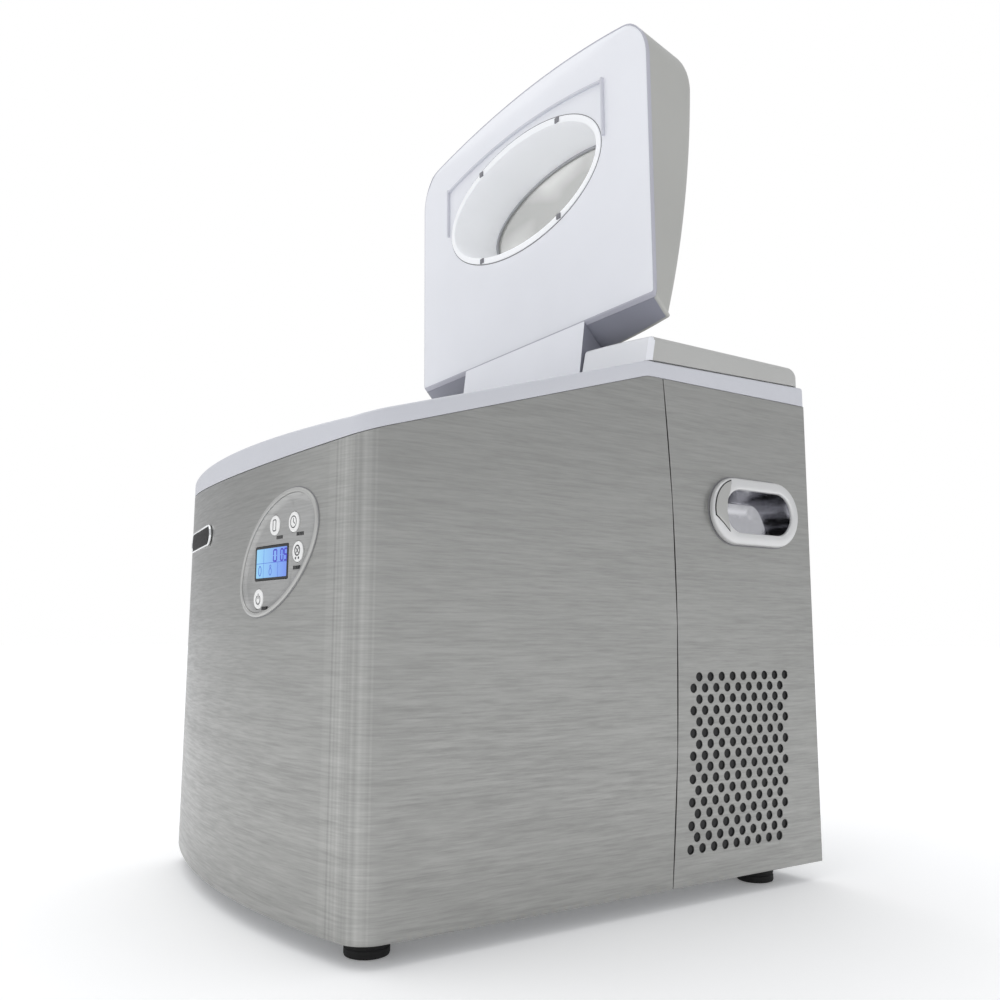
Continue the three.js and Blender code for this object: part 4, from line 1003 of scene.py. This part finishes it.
LID_OPEN = Matrix.Translation(HINGE_AT) @ Matrix.Rotation(SWING, 4, "X") @ Matrix.Translation(-HINGE_AT)
LINER = Matrix.Translation((0, WINDOW_Y, rim_top(WINDOW_Y) + LID_GAP)) @ Matrix.Rotation(SLOPE, 4, "X")
LID_END = [(398.0, LID_EDGE_Y), (416.0, 40.0), (424.0, 42.5), (445.0, 44.0)]


def crown_z(x, y):
    return LID_CROWN_Z - ARCH * min(0.0, y - ARCH_Y) ** 2 - CROWN * x**2


def lid_rounding(ny):
    """Radius of the lid's top edge: small at the hinge end, larger from the sides to the front."""
    return 3.0 if ny > 0.01 else lerp(8.0, 12.0, -ny)


def oval(margin, height, steps=96):
    """A loop round the window at a height above the liner's lower face."""
    flat = ellipse(0, 0, WINDOW_A - margin, WINDOW_B - margin, 0, steps)
    return [LINER @ Vector((x, y, height)) for x, y in flat]


def oval_under_top(margin, drop, scale=1.0, steps=96):
    """A loop square above the window, on a surface a drop below the lid's top."""
    loop = []
    for x, y in ellipse(0, 0, (WINDOW_A - margin) * scale, (WINDOW_B - margin) * scale, 0, steps):
        height = 50.0
        for _ in range(8):
            point = LINER @ Vector((x, y, height))
            height += (crown_z(point.x, point.y) - drop - point.z) / math.cos(SLOPE)
        loop.append(LINER @ Vector((x, y, height)))
    return loop


def lid_piece(name, shape, material, stands_for):
    """A piece shaped as the lid lies closed, swung open with the lid."""
    return piece(name, shape, material, "lid", stands_for, LID_OPEN)


def lid_loop(rear_y):
    return plan_loop(LID_CORNER, rear_y, 3.0)


def rear_at(z):
    return ramp(LID_END, z)


def lid_wall_ring(share, turn, skin):
    """One ring of the shell: share runs up its wall, then turn goes round its top edge."""
    loop = []
    base_loop = lid_loop(LID_EDGE_Y)
    for index, (x, y, _, ny) in enumerate(base_loop):
        radius = lid_rounding(ny)
        base = rim_top(y) + LID_GAP + LINER_THICKNESS + GAP
        top = crown_z(x, y) - radius
        if turn is None:
            z, inset = lerp(base, top, share), 0.0
        else:
            z, inset = top, radius * (1 - math.cos(turn))
        stretched = lid_loop(rear_at(z + (0 if turn is None else radius * math.sin(turn))))[index]
        px, py = inward(stretched, inset + skin)
        if turn is not None:
            z = crown_z(px, py) - radius * (1 - math.sin(turn))
        loop.append((px, py, z - (skin if turn is not None else 0)))
    return loop


def window_hole_for(ring, drop, margin):
    """The window's hole on the lid's top, one point for each point of a ring round it."""
    hole = oval_under_top(margin, drop, 1.0, 192)
    flat = [(p.x, p.y) for p in hole]
    centre = (0.0, sum(p[1] for p in flat) / len(flat))
    loop = []
    for x, y, _ in ring:
        px, py = ray_to(flat, centre, (x, y))
        loop.append((px, py, crown_z(px, py) - drop))
    return loop


def lid_shell():
    """The lid's hollow shell with the window's hole through its crowned top."""
    shares = (0.0, 0.35, 0.7, 1.0)
    turns = [math.radians(15 * i) for i in range(1, 7)]
    outer = [lid_wall_ring(s, None, 0.0) for s in shares] + [lid_wall_ring(0, t, 0.0) for t in turns]
    hole = window_hole_for(outer[-1], 0.0, PANE_HOLE_MARGIN)
    edge = outer[-1]
    outer += [between(edge, hole, share, crown_z) for share in (0.12, 0.3, 0.5, 0.7, 0.86, 0.96, 1.0)]
    outer[-1] = [(x, y, z - 0.3) for x, y, z in outer[-1]]
    inner = [lid_wall_ring(s, None, LID_SKIN) for s in shares]
    inner += [lid_wall_ring(0, t, LID_SKIN) for t in turns[1::2]]
    hole_under = window_hole_for(outer[-1], LID_SKIN, PANE_HOLE_MARGIN)
    bridge = between(inner[-1], hole_under, 0.5, lambda x, y: crown_z(x, y) - LID_SKIN)
    rings = outer + [hole_under, bridge] + inner[::-1]
    made = lid_piece("lid_shell_moulded", loft(rings, wrap=True), SILVER, ["lid_shell"])
    # Painted shade: the low faces at the hinge end get the darker grey.
    made.data.materials.append(SHADED_END_GREY)
    closed = LID_OPEN.inverted()
    for face in made.data.polygons:
        at = closed @ (face.center / MM)
        if at.y > LID_EDGE_Y - 2 and abs(at.x) < HALF_WIDTH - LID_SKIN and at.z < crown_z(at.x, at.y) - 5:
            face.material_index = 1
    return made


def liner_plate():
    """The liner under the lid, with an opening round the window."""
    outline = lid_loop(LID_EDGE_Y)
    flat_hole = [(p.x, p.y) for p in oval(LINER_HOLE_MARGIN, 0, 192)]
    centre = (0.0, WINDOW_Y)

    def low(y):
        return rim_top(y) + LID_GAP + 0.5 * clamp((-178 - y) / 10)

    def edge(inset, lift):
        loop = []
        for point in outline:
            x, y = inward(point, inset)
            loop.append((x, y + (lift * 0.6 if point[3] > 0.5 else 0), low(y) + lift))
        return loop

    edges = [edge(1.1, LINER_THICKNESS), edge(1.1, 0.8), edge(1.35, 0.25), edge(1.9, 0.0)]
    hole = [ray_to(flat_hole, centre, inward(point, 0)) for point in outline]

    def across(share, lift):
        return between(edges[-1], hole, share, lambda x, y: low(y) + lift)

    face = [across(share, 0.0) for share in (0.06, 0.12, 0.2, 0.35, 0.5, 0.65, 0.8, 0.92, 0.99)]
    rest = [across(1.0, 0.4), across(1.0, LINER_THICKNESS), across(0.5, LINER_THICKNESS)]
    return loft(edges + face + rest, wrap=True)


def edge_trim():
    """The narrow edge of the shell that shows round the liner."""

    def loop(inset, lift):
        made = []
        for point in lid_loop(LID_EDGE_Y):
            x, y = inward(point, inset)
            made.append((x, y + (lift * 0.6 if point[3] > 0.5 else 0), rim_top(y) + LID_GAP + lift))
        return made

    top = LINER_THICKNESS + 0.2
    rings = [loop(TRIM_WIDTH, top), loop(TRIM_WIDTH, 0.3), loop(0.35, 0.3), loop(0.0, 0.7), loop(0.0, top)]
    return loft(rings, wrap=True)


def bar_along(path, width, low, high, chamfer=0.5):
    """A raised bar of rectangular section along an open path in the liner's plane."""
    rings = []
    for i, (x, y) in enumerate(path):
        ax, ay = path[max(0, i - 1)]
        bx, by = path[min(len(path) - 1, i + 1)]
        size = math.hypot(bx - ax, by - ay)
        nx, ny = -(by - ay) / size, (bx - ax) / size
        half = width / 2
        section = [(-half, high), (-half, low + chamfer), (chamfer - half, low)]
        section += [(half - chamfer, low), (half, low + chamfer), (half, high)]
        rings.append([LINER @ Vector((x + nx * s, y + ny * s, h)) for s, h in section])
    return loft(rings)


def liner_rib():
    """The rib between the window and the lid's front: a bowed bar with a leg at each end."""
    centre = -RIB_CREST + math.sqrt(BOW_RADIUS**2 - RIB_HALF**2)
    bow = math.degrees(math.asin(RIB_HALF / BOW_RADIUS))
    path = arc(0, centre, BOW_RADIUS - RIB_WIDTH / 2, -90 - bow, -90 + bow, 40)
    shapes = [bar_along(path, RIB_WIDTH, -RIB_PROUD, 1.0)]
    for x in (-RIB_HALF, RIB_HALF):
        leg = [(x, -RIB_CREST - 1.5), (x, -RIB_CREST + 20), (x, -2)]
        shapes.append(bar_along(leg, RIB_WIDTH, -RIB_PROUD, 1.0))
    return merged(*shapes)


def tongue():
    """The hinge tongue: the liner's continuation at a gentler slope, with a rolled back edge."""
    start = rim_top(LID_EDGE_Y) + LID_GAP
    profile = [(LID_EDGE_Y + 0.05, start), (HINGE_AT.y + 24, 407.1)]
    profile += [(HINGE_AT.y + 27.2, 409.2), (HINGE_AT.y + 28, 413), (HINGE_AT.y + 27, 421)]
    profile += [(HINGE_AT.y + 24, 427), (HINGE_AT.y + 19, 430), (44, 430), (40, 416)]
    middle = (HINGE_AT.y, 416.0)
    xs = [-TONGUE_HALF, 0.8 - TONGUE_HALF] + [lerp(-90, 90, i / 8) for i in range(9)]
    xs += [TONGUE_HALF - 0.8, TONGUE_HALF]
    rings = []
    for x in xs:
        shrink = 0.985 if abs(x) == TONGUE_HALF else 1.0
        limit = cover_top(x) - TONGUE_DROP
        rings.append([(x, y, min(limit, z)) for y, z in scaled(profile, middle, shrink)])
    return loft(rings)


def lid_liner():
    # The rib is drawn in the darker grey: painted shade.
    lid_piece("liner_rib_bar", liner_rib(), RIB_SHADED_GREY, [])
    lid_piece("lid_edge_trim", edge_trim(), EDGE_GREY, [])
    shape = merged(liner_plate(), tongue())
    made = lid_piece("lid_liner_moulded", shape, WHITE, ["lid_liner"])
    # Painted shade: the tongue's side faces get the darker grey.
    made.data.materials.append(SHADED_END_GREY)
    for face in made.data.polygons:
        if abs(face.normal.x) > 0.7 and abs(abs(face.center.x / MM) - TONGUE_HALF) < 1.5:
            face.material_index = 1
    return made


def window():
    """The window's collar with its flange, a seal, the clear pane and four clips."""
    flange = [oval(0.0, 2.6), oval(0.0, 0.0), oval(0.3, -0.4), oval(FLANGE_WIDTH - 0.8, -0.4)]
    flange += [oval(FLANGE_WIDTH - 0.2, -0.1), oval(FLANGE_WIDTH, 0.6)]
    flange += [oval(FLANGE_WIDTH, height) for height in (12, 24, 36)]
    flange += [oval_under_top(FLANGE_WIDTH, 3.0), oval_under_top(COLLAR_OUTSIDE, 3.0)]
    flange += [oval(COLLAR_OUTSIDE, 2.6)]
    edge, inner = LINER_HOLE_MARGIN + 0.05, -0.05
    outline = [oval(edge, 2.6), oval(edge, 0.25), oval(inner, 0.25), oval(inner, 2.6)]
    lid_piece("window_outline", loft(outline, wrap=True), SEAL, [])
    # The collar glows faintly: painted light.
    lid_piece("window_ring_moulded", loft(flange, wrap=True), COLLAR_PAINTED_GLOW, ["window_ring"])
    corners = ((FLANGE_WIDTH + 0.2, 4.6), (FLANGE_WIDTH + 0.2, 3.0), (9.0, 3.0), (9.0, 4.6))
    seal = [oval_under_top(margin, drop) for margin, drop in corners]
    lid_piece("window_seal", loft(seal, wrap=True), PALE_SEAL, ["window_gasket"])
    scales = (0.03, 0.2, 0.4, 0.6, 0.8, 1.0)
    pane = [oval_under_top(PANE_MARGIN, 0.0, s) for s in scales]
    pane += [oval_under_top(PANE_MARGIN, LID_SKIN, s) for s in scales[::-1]]
    lid_piece("window_pane_clear", loft(pane), CLEAR, ["window_pane"])
    clips = [window_clip(sx * CLIP_X, sy * CLIP_Y) for sx, sy in ((-1, -1), (1, -1), (1, 1), (-1, 1))]
    lid_piece("window_clips", merged(*clips), CLIP, [])


def window_clip(x, y):
    """A small block on the collar's flange with an eased top."""
    low = [(x - 2.8, y - 2.4), (x + 2.8, y - 2.4), (x + 2.8, y + 2.4), (x - 2.8, y + 2.4)]
    rings = []
    for height, inset in ((-0.3, 0.0), (-1.2, 0.0), (-1.6, 0.4)):
        share = inset / 2.8
        rings.append([LINER @ Vector((lerp(px, x, share), lerp(py, y, share), height)) for px, py in low])
    return loft(rings)


# ---------------------------------------------------------------------------------------------
# Controls: local coordinates on the bowed front, whose -Y points out of it
# ---------------------------------------------------------------------------------------------


def on_front(x, z):
    turn = math.asin(x / BOW_RADIUS)
    return Matrix.Translation((x, bow_y(x), z)) @ Matrix.Rotation(turn, 4, "Z")


def on_bow(x, z, out):
    """A local point a distance out of the bowed surface."""
    return x, BOW_RADIUS - math.sqrt((BOW_RADIUS + out) ** 2 - x**2), z


def panel_ring(margin, out, steps=120):
    loop = ellipse(0, 0, PANEL_A - margin, PANEL_B - margin, PANEL_TILT, steps)
    return [on_bow(x, z, out) for x, z in loop]


PANEL = on_front(PANEL_X, PANEL_Z)
BUTTONS = [
    ("select_button", -4.1, 19.7),
    ("timer_button", 21.6, 20.0),
    ("clean_button", 27.5, -0.2),
    ("power_button", -25.2, -30.1),
]
BUTTON_RADIUS = 7.0
FACE_SINK = 1.4
FACE_PROFILE = [(3.4, 0.3), (3.9, 0.1), (5.0, -0.5), (6.5, -1.1), (8.5, -FACE_SINK), (34, -FACE_SINK)]
LCD_X, LCD_Z, LCD_WIDTH, LCD_HEIGHT = -8.1, -5.6, 47.4, 23.6
LCD_FRONT = -1.55
SYMBOL_SCALE = 1.3
BUTTON_PROUD = 0.55
DIGIT_FOOT, DIGIT_TALL = 0.54, 0.38  # shares of the lit screen's height
MARK_COUNT, MARK_PITCH, MARK_WIDTH, MARK_HEIGHT = 5, 1.8, 1.25, 2.4
MARK_START = -4.3
MARK_PLACES = ((7.0, -8.6), (8.0, -8.4), (-1.0, -10.4), (11.5, -6.5))


def panel_loft(levels, wrap=True):
    return loft([panel_ring(margin, out) for margin, out in levels], wrap)


def panel_piece(name, shape, material, stands_for):
    return piece(name, shape, material, "cabinet", stands_for, PANEL)


def panel_bezel():
    section = [(0.0, -2.0), (0.0, 0.7), (0.2, 1.05), (0.6, 1.25), (2.4, 1.3), (2.9, 1.15), (3.15, 0.8)]
    section += [(3.2, 0.2), (3.2, -3.5)]
    panel_piece("control_bezel_satin", panel_loft(section), BEZEL, ["control_bezel"])
    gasket = panel_loft([(-0.7, -0.6), (-0.7, 0.12), (0.1, 0.25), (0.1, -0.6)])
    panel_piece("control_gasket", gasket, SEAL, [])


def panel_face():
    levels = [(margin, -FACE_SINK) for margin in (34, 30, 22, 14)] + FACE_PROFILE[4::-1]
    levels += [(3.4, -3.9), (34, -3.9)]
    face = panel_loft(levels, wrap=False)
    made = panel_piece("control_face_brushed", face, PANEL_STEEL, ["control_face"])
    radius = BUTTON_RADIUS + GAP
    loops = [ellipse(x, z, radius, radius, 0, 40) for _, x, z in BUTTONS] + [screen_outline(GAP)]
    holes = [cutter(loft([[(u, y, v) for u, v in loop] for y in (-8, 8)]), PANEL) for loop in loops]
    return cut(made, *holes)


def face_height(x, z):
    """How far out of the tangent plane the panel's face is at a local point."""
    c, d = math.cos(PANEL_TILT), math.sin(PANEL_TILT)
    u, v = x * c + z * d, z * c - x * d
    low, high = 0.0, PANEL_B - 1
    for _ in range(24):
        margin = (low + high) / 2
        outside = math.hypot(u / (PANEL_A - margin), v / (PANEL_B - margin)) > 1
        low, high = (low, margin) if outside else (margin, high)
    return ramp(FACE_PROFILE, low) - x**2 / (2 * BOW_RADIUS)


def screen_outline(margin):
    half_x, half_z = LCD_WIDTH / 2 + margin, LCD_HEIGHT / 2 + margin
    return rounded_rectangle(LCD_X - half_x, LCD_X + half_x, LCD_Z - half_z, LCD_Z + half_z, 1.2, 5)


def slab(loop, front, back, edge=0.15):
    """A flat slab whose front is a distance out of the panel's tangent plane, with a small edge."""
    cx = sum(p[0] for p in loop) / len(loop)
    cz = sum(p[1] for p in loop) / len(loop)
    reach = max(math.hypot(x - cx, z - cz) for x, z in loop)
    small = [(lerp(x, cx, edge / reach), lerp(z, cz, edge / reach)) for x, z in loop]
    rings = [[(x, -back, z) for x, z in loop], [(x, edge - front, z) for x, z in loop]]
    rings.append([(x, -front, z) for x, z in small])
    return loft(rings)


def stroke(path, width, front, back, closed=False):
    """A flat line of a given width along a path, as a thin raised slab."""
    count = len(path)
    left, right = [], []
    for i, (x, z) in enumerate(path):
        ax, az = path[(i - 1) % count] if closed or i > 0 else path[i]
        bx, bz = path[(i + 1) % count] if closed or i < count - 1 else path[i]
        size = math.hypot(bx - ax, bz - az)
        nx, nz = -(bz - az) / size, (bx - ax) / size
        left.append((x + nx * width / 2, z + nz * width / 2))
        right.append((x - nx * width / 2, z - nz * width / 2))
    rings = [
        [(x, -back, z) for x, z in left],
        [(x, -front, z) for x, z in left],
        [(x, -front, z) for x, z in right],
        [(x, -back, z) for x, z in right],
    ]
    if closed:
        return loft(rings, wrap=True)
    sections = [[ring[i] for ring in rings] for i in range(count)]
    return loft(sections)


SEGMENTS = {
    "a": ((0, 2), (1, 2)), "b": ((1, 2), (1, 1)), "c": ((1, 1), (1, 0)), "d": ((0, 0), (1, 0)),
    "e": ((0, 1), (0, 0)), "f": ((0, 2), (0, 1)), "g": ((0, 1), (1, 1)),
}
DIGITS = {"0": "abcdef", "5": "acdfg"}


def digit(character, x, z, width, height, front, back):
    shapes = []
    for key in DIGITS[character]:
        (ax, az), (bx, bz) = SEGMENTS[key]
        ax, az = lerp(ax, 0.5, 0.1 if az == bz else 0), lerp(az, (az + bz) / 2, 0.12)
        bx, bz = lerp(bx, 0.5, 0.1 if az == bz else 0), lerp(bz, (az + bz) / 2, 0.12)
        path = [(x + ax * width, z + az * height / 2), (x + bx * width, z + bz * height / 2)]
        shapes.append(stroke(path, 1.1, front, back))
    return merged(*shapes)


def display():
    surround = slab(screen_outline(0.0), LCD_FRONT, -5.5)
    panel_piece("lcd_surround", surround, GLOSS_BLACK, ["lcd_display"])
    left, right = LCD_X - LCD_WIDTH / 2 + 2.2, LCD_X + LCD_WIDTH / 2 - 2.2
    low, high = LCD_Z - LCD_HEIGHT / 2 + 1.7, LCD_Z + LCD_HEIGHT / 2 - 1.7
    lit = rounded_rectangle(left, right, low, high, 0.8, 4)
    panel_piece("lcd_screen", slab(lit, LCD_FRONT + 0.06, LCD_FRONT - 0.3, 0.05), SCREEN, [])
    front, back = LCD_FRONT + 0.14, LCD_FRONT - 0.1
    height = high - low
    marks = []
    for character, place, width in (("0", 24.5, 4.6), ("0", 34.6, 3.4), ("5", 39.6, 3.4)):
        foot_z, tall = low + height * DIGIT_FOOT, height * DIGIT_TALL
        marks.append(digit(character, left + place, foot_z, width, tall, front, back))
    panel_piece("lcd_digits", merged(*marks), DIGIT, [])
    lines = [
        stroke([(left, low + height * 0.5), (right, low + height * 0.5)], 0.35, front, back),
        stroke([(left + 10.5, low), (left + 10.5, high)], 0.25, front, back),
        stroke([(left + 31, low), (left + 31, low + height * 0.5)], 0.25, front, back),
        stroke(ellipse(left + 5.4, low + 5.0, 1.9, 3.3, 0, 24), 0.7, front, back, True),
        stroke(ellipse(left + 20.5, low + 4.0, 1.7, 2.4, 0, 20), 0.6, front, back, True),
        stroke(ellipse(left + 20.5, low + 7.6, 0.9, 0.9, 0, 16), 0.5, front, back, True),
    ]
    panel_piece("lcd_symbols", merged(*lines), DIGIT_PALE, [])


def button_symbol(name, x, z, front, back):
    if name.startswith("select"):
        frame_line = rounded_rectangle(x - 1.6, x + 1.6, z - 2.9, z + 2.9, 0.6, 3)
        return stroke(frame_line, 0.55, front, back, True)
    if name.startswith("timer"):
        dial = stroke(ellipse(x, z, 3.0, 3.0, 0, 32), 0.5, front, back, True)
        hands = stroke([(x, z + 2.0), (x, z), (x + 1.5, z - 1.0)], 0.45, front, back)
        return merged(dial, hands)
    if name.startswith("clean"):
        dial = stroke(ellipse(x, z + 0.6, 2.5, 2.5, 0, 32), 0.7, front, back, True)
        shapes = [dial]
        for s in (-1, 1):
            arm = [(x - 1.3, z + 0.6 - s * 1.3), (x + 1.3, z + 0.6 + s * 1.3)]
            shapes.append(stroke(arm, 0.5, front, back))
        for s in (-1, 1):
            shapes.append(slab(ellipse(x + s * 1.5, z - 3.3, 0.7, 0.7, 0, 16), front, back, 0.05))
        return merged(*shapes)
    ring = stroke([(x + u, z + v) for u, v in arc(0, -0.4, 2.3, 120, 420, 28)], 0.6, front, back)
    return merged(ring, stroke([(x, z + 3.0), (x, z)], 0.6, front, back))


def buttons():
    for name, x, z in BUTTONS:
        front = face_height(x, z) + BUTTON_PROUD
        section = [(BUTTON_RADIUS, -4.6), (BUTTON_RADIUS, front - 0.5), (BUTTON_RADIUS - 0.2, front - 0.2)]
        section += [(BUTTON_RADIUS - 0.6, front - 0.04), (BUTTON_RADIUS - 1.6, front), (0.3, front - 0.06)]
        rings = [[(u, -out, v) for u, v in ellipse(x, z, r, r, 0, 40)] for r, out in section]
        piece(name + "_cap", loft(rings), BUTTON, name, [name], PANEL)
        points, faces = button_symbol(name, x, z, front + 0.06, front - 0.2)
        symbol = [(lerp(x, u, SYMBOL_SCALE), y, lerp(z, v, SYMBOL_SCALE)) for u, y, v in points], faces
        piece(name + "_symbol", symbol, INK, name, [], PANEL)


def panel_marks():
    """Short plain blocks where a label would be, one group beside each button."""
    shapes = []
    for (_, x, z), (dx, dz) in zip(BUTTONS, MARK_PLACES):
        for i in range(MARK_COUNT):
            left = x + dx + MARK_START + i * MARK_PITCH
            ends = [(left, z + dz), (left + MARK_WIDTH, z + dz)]
            out = max(face_height(u, v + h) for u, v in ends for h in (-MARK_HEIGHT / 2, MARK_HEIGHT / 2))
            shapes.append(stroke(ends, MARK_HEIGHT, out + 0.08, out - 1.0))
    panel_piece("panel_marks", merged(*shapes), BLACK, [])


def badge():
    """A blank badge: a bright raised edge round a black face."""
    place = on_front(BADGE_X, BADGE_Z)

    def ring(shrink, out):
        loop = stadium(0, 0, BADGE_LENGTH - shrink, BADGE_HEIGHT - shrink, 20)
        return [on_bow(x, z, out) for x, z in loop]

    edge = [ring(0.6, 0.35), ring(0, 0.8), ring(0, 1.5), ring(0.5, 2.0), ring(1.2, 2.18), ring(2.2, 2.0)]
    edge += [ring(2.8, 1.6), ring(2.8, 0.35)]
    piece("badge_edge", loft(edge, wrap=True), CHROME, "cabinet", ["badge"], place)
    face = [ring(2.8, 0.6), ring(2.8, 1.5), ring(3.2, 1.62)]
    face += [ring(8, 1.64), ring(12, 1.64), ring(16.6, 1.64)]
    piece("badge_face", loft(face), BADGE_BLACK, "cabinet", [], place)


# ---------------------------------------------------------------------------------------------
# Stage
# ---------------------------------------------------------------------------------------------

YAW, PITCH, ROLL = 0.981, 0.141, 0.003
CAMERA_AT = Vector((0.71247, -0.45166, 0.19179))
FOCAL_SHARE = 0.96789  # focal length over the picture's width
SKY_HORIZON, SKY_ZENITH = 0.66, 0.72
OVERHEAD = 1.0
SUN_TRAVEL = Vector((0.35, 0.1, -1.0))
SUN_ANGLE = math.radians(75)
FLOOR_HALF = 20.0
FLOOR_GLOW = 0.14
FRONT_LIGHT, FRONT_LIGHT_SIZE = 2.0, 1.6
FRONT_LIGHT_AT, FRONT_LIGHT_AIM = Vector((-1.6, -2.4, 1.5)), Vector((0, 0, 0.3))


def camera():
    data = bpy.data.cameras.new("camera")
    data.sensor_width = 36.0
    data.lens = FOCAL_SHARE * data.sensor_width
    data.clip_start, data.clip_end = 0.02, 50.0
    made = add_object("camera", data)
    ahead = Vector((-math.sin(YAW) * math.cos(PITCH), math.cos(YAW) * math.cos(PITCH), math.sin(PITCH)))
    level = Vector((math.cos(YAW), math.sin(YAW), 0.0))
    above = level.cross(ahead)
    right = math.cos(ROLL) * level + math.sin(ROLL) * above
    up = math.cos(ROLL) * above - math.sin(ROLL) * level
    turn = Matrix((right, up, -ahead)).transposed()
    made.matrix_world = Matrix.Translation(CAMERA_AT) @ turn.to_4x4()
    bpy.context.scene.camera = made


def light(name, kind, travel, power):
    """A light that shines along a direction."""
    data = bpy.data.lights.new(name, kind)
    data.energy = power
    made = add_object(name, data)
    made.rotation_euler = travel.to_track_quat("-Z", "Y").to_euler()
    return made


def sky():
    """A plain studio sky: white where the camera sees it, and as a light an even pale grey that is
    a little brighter overhead."""
    world = bpy.data.worlds.new("studio")
    bpy.context.scene.world = world
    world.use_nodes = True
    tree = world.node_tree
    tree.nodes.clear()
    height = ranged(tree, axes(tree, "Generated")["Z"], SKY_HORIZON, SKY_ZENITH, 0.0, 0.9)
    lit_sky = node(tree, "ShaderNodeBackground", Color=(0.97, 0.98, 1.0, 1))
    tree.links.new(height, lit_sky.inputs["Strength"])
    path = node(tree, "ShaderNodeLightPath")
    seen_sky = node(tree, "ShaderNodeBackground", Color=(1, 1, 1, 1), Strength=1.0)
    mix = node(tree, "ShaderNodeMixShader")
    out = node(tree, "ShaderNodeOutputWorld")
    tree.links.new(path.outputs["Is Camera Ray"], mix.inputs[0])
    tree.links.new(lit_sky.outputs[0], mix.inputs[1])
    tree.links.new(seen_sky.outputs[0], mix.inputs[2])
    tree.links.new(mix.outputs[0], out.inputs[0])


def floor():
    size = FLOOR_HALF
    mesh = bpy.data.meshes.new("floor")
    corners = [(-size, -size, 0), (size, -size, 0), (size, size, 0), (-size, size, 0)]
    mesh.from_pydata(corners, [], [(0, 1, 2, 3)])
    white = (0.99, 0.99, 0.99)
    paper = moulded("floor_paper", white, 0.9, 0.004, 200.0, 0.02, Emission_Strength=FLOOR_GLOW)
    paper.node_tree.nodes["Principled BSDF"].inputs["Emission Color"].default_value = (1, 1, 1, 1)
    mesh.materials.append(paper)
    made = add_object("floor", mesh)


def lights():
    light("overhead", "SUN", SUN_TRAVEL, OVERHEAD).data.angle = SUN_ANGLE
    front = light("front_left", "AREA", FRONT_LIGHT_AIM - FRONT_LIGHT_AT, FRONT_LIGHT)
    front.data.size = FRONT_LIGHT_SIZE
    front.location = FRONT_LIGHT_AT


# ---------------------------------------------------------------------------------------------
# Build
# ---------------------------------------------------------------------------------------------

bpy.context.scene.view_settings.view_transform = "Standard"
camera()
sky()
floor()
lights()

finish_cad_nodes()
front_wrap()
for build, kind in ((side_skin, "side_skin"), (seam_backing, "seam_backing"), (vent_screen, "vent_screen")):
    for label, side in SIDES:
        build(f"{kind}_{label}", side)
for foot_name in ("foot_front_left", "foot_front_right", "foot_rear_left", "foot_rear_right"):
    foot_low, foot_high = span(foot_name)
    foot(foot_name, (foot_low.x + foot_high.x) / 2, (foot_low.y + foot_high.y) / 2)
for label, side in SIDES:
    grip(f"handle_cup_{label}", side)
rim()
rear_cover()
lid_shell()
lid_liner()
window()
panel_bezel()
panel_face()
display()
buttons()
panel_marks()
badge()
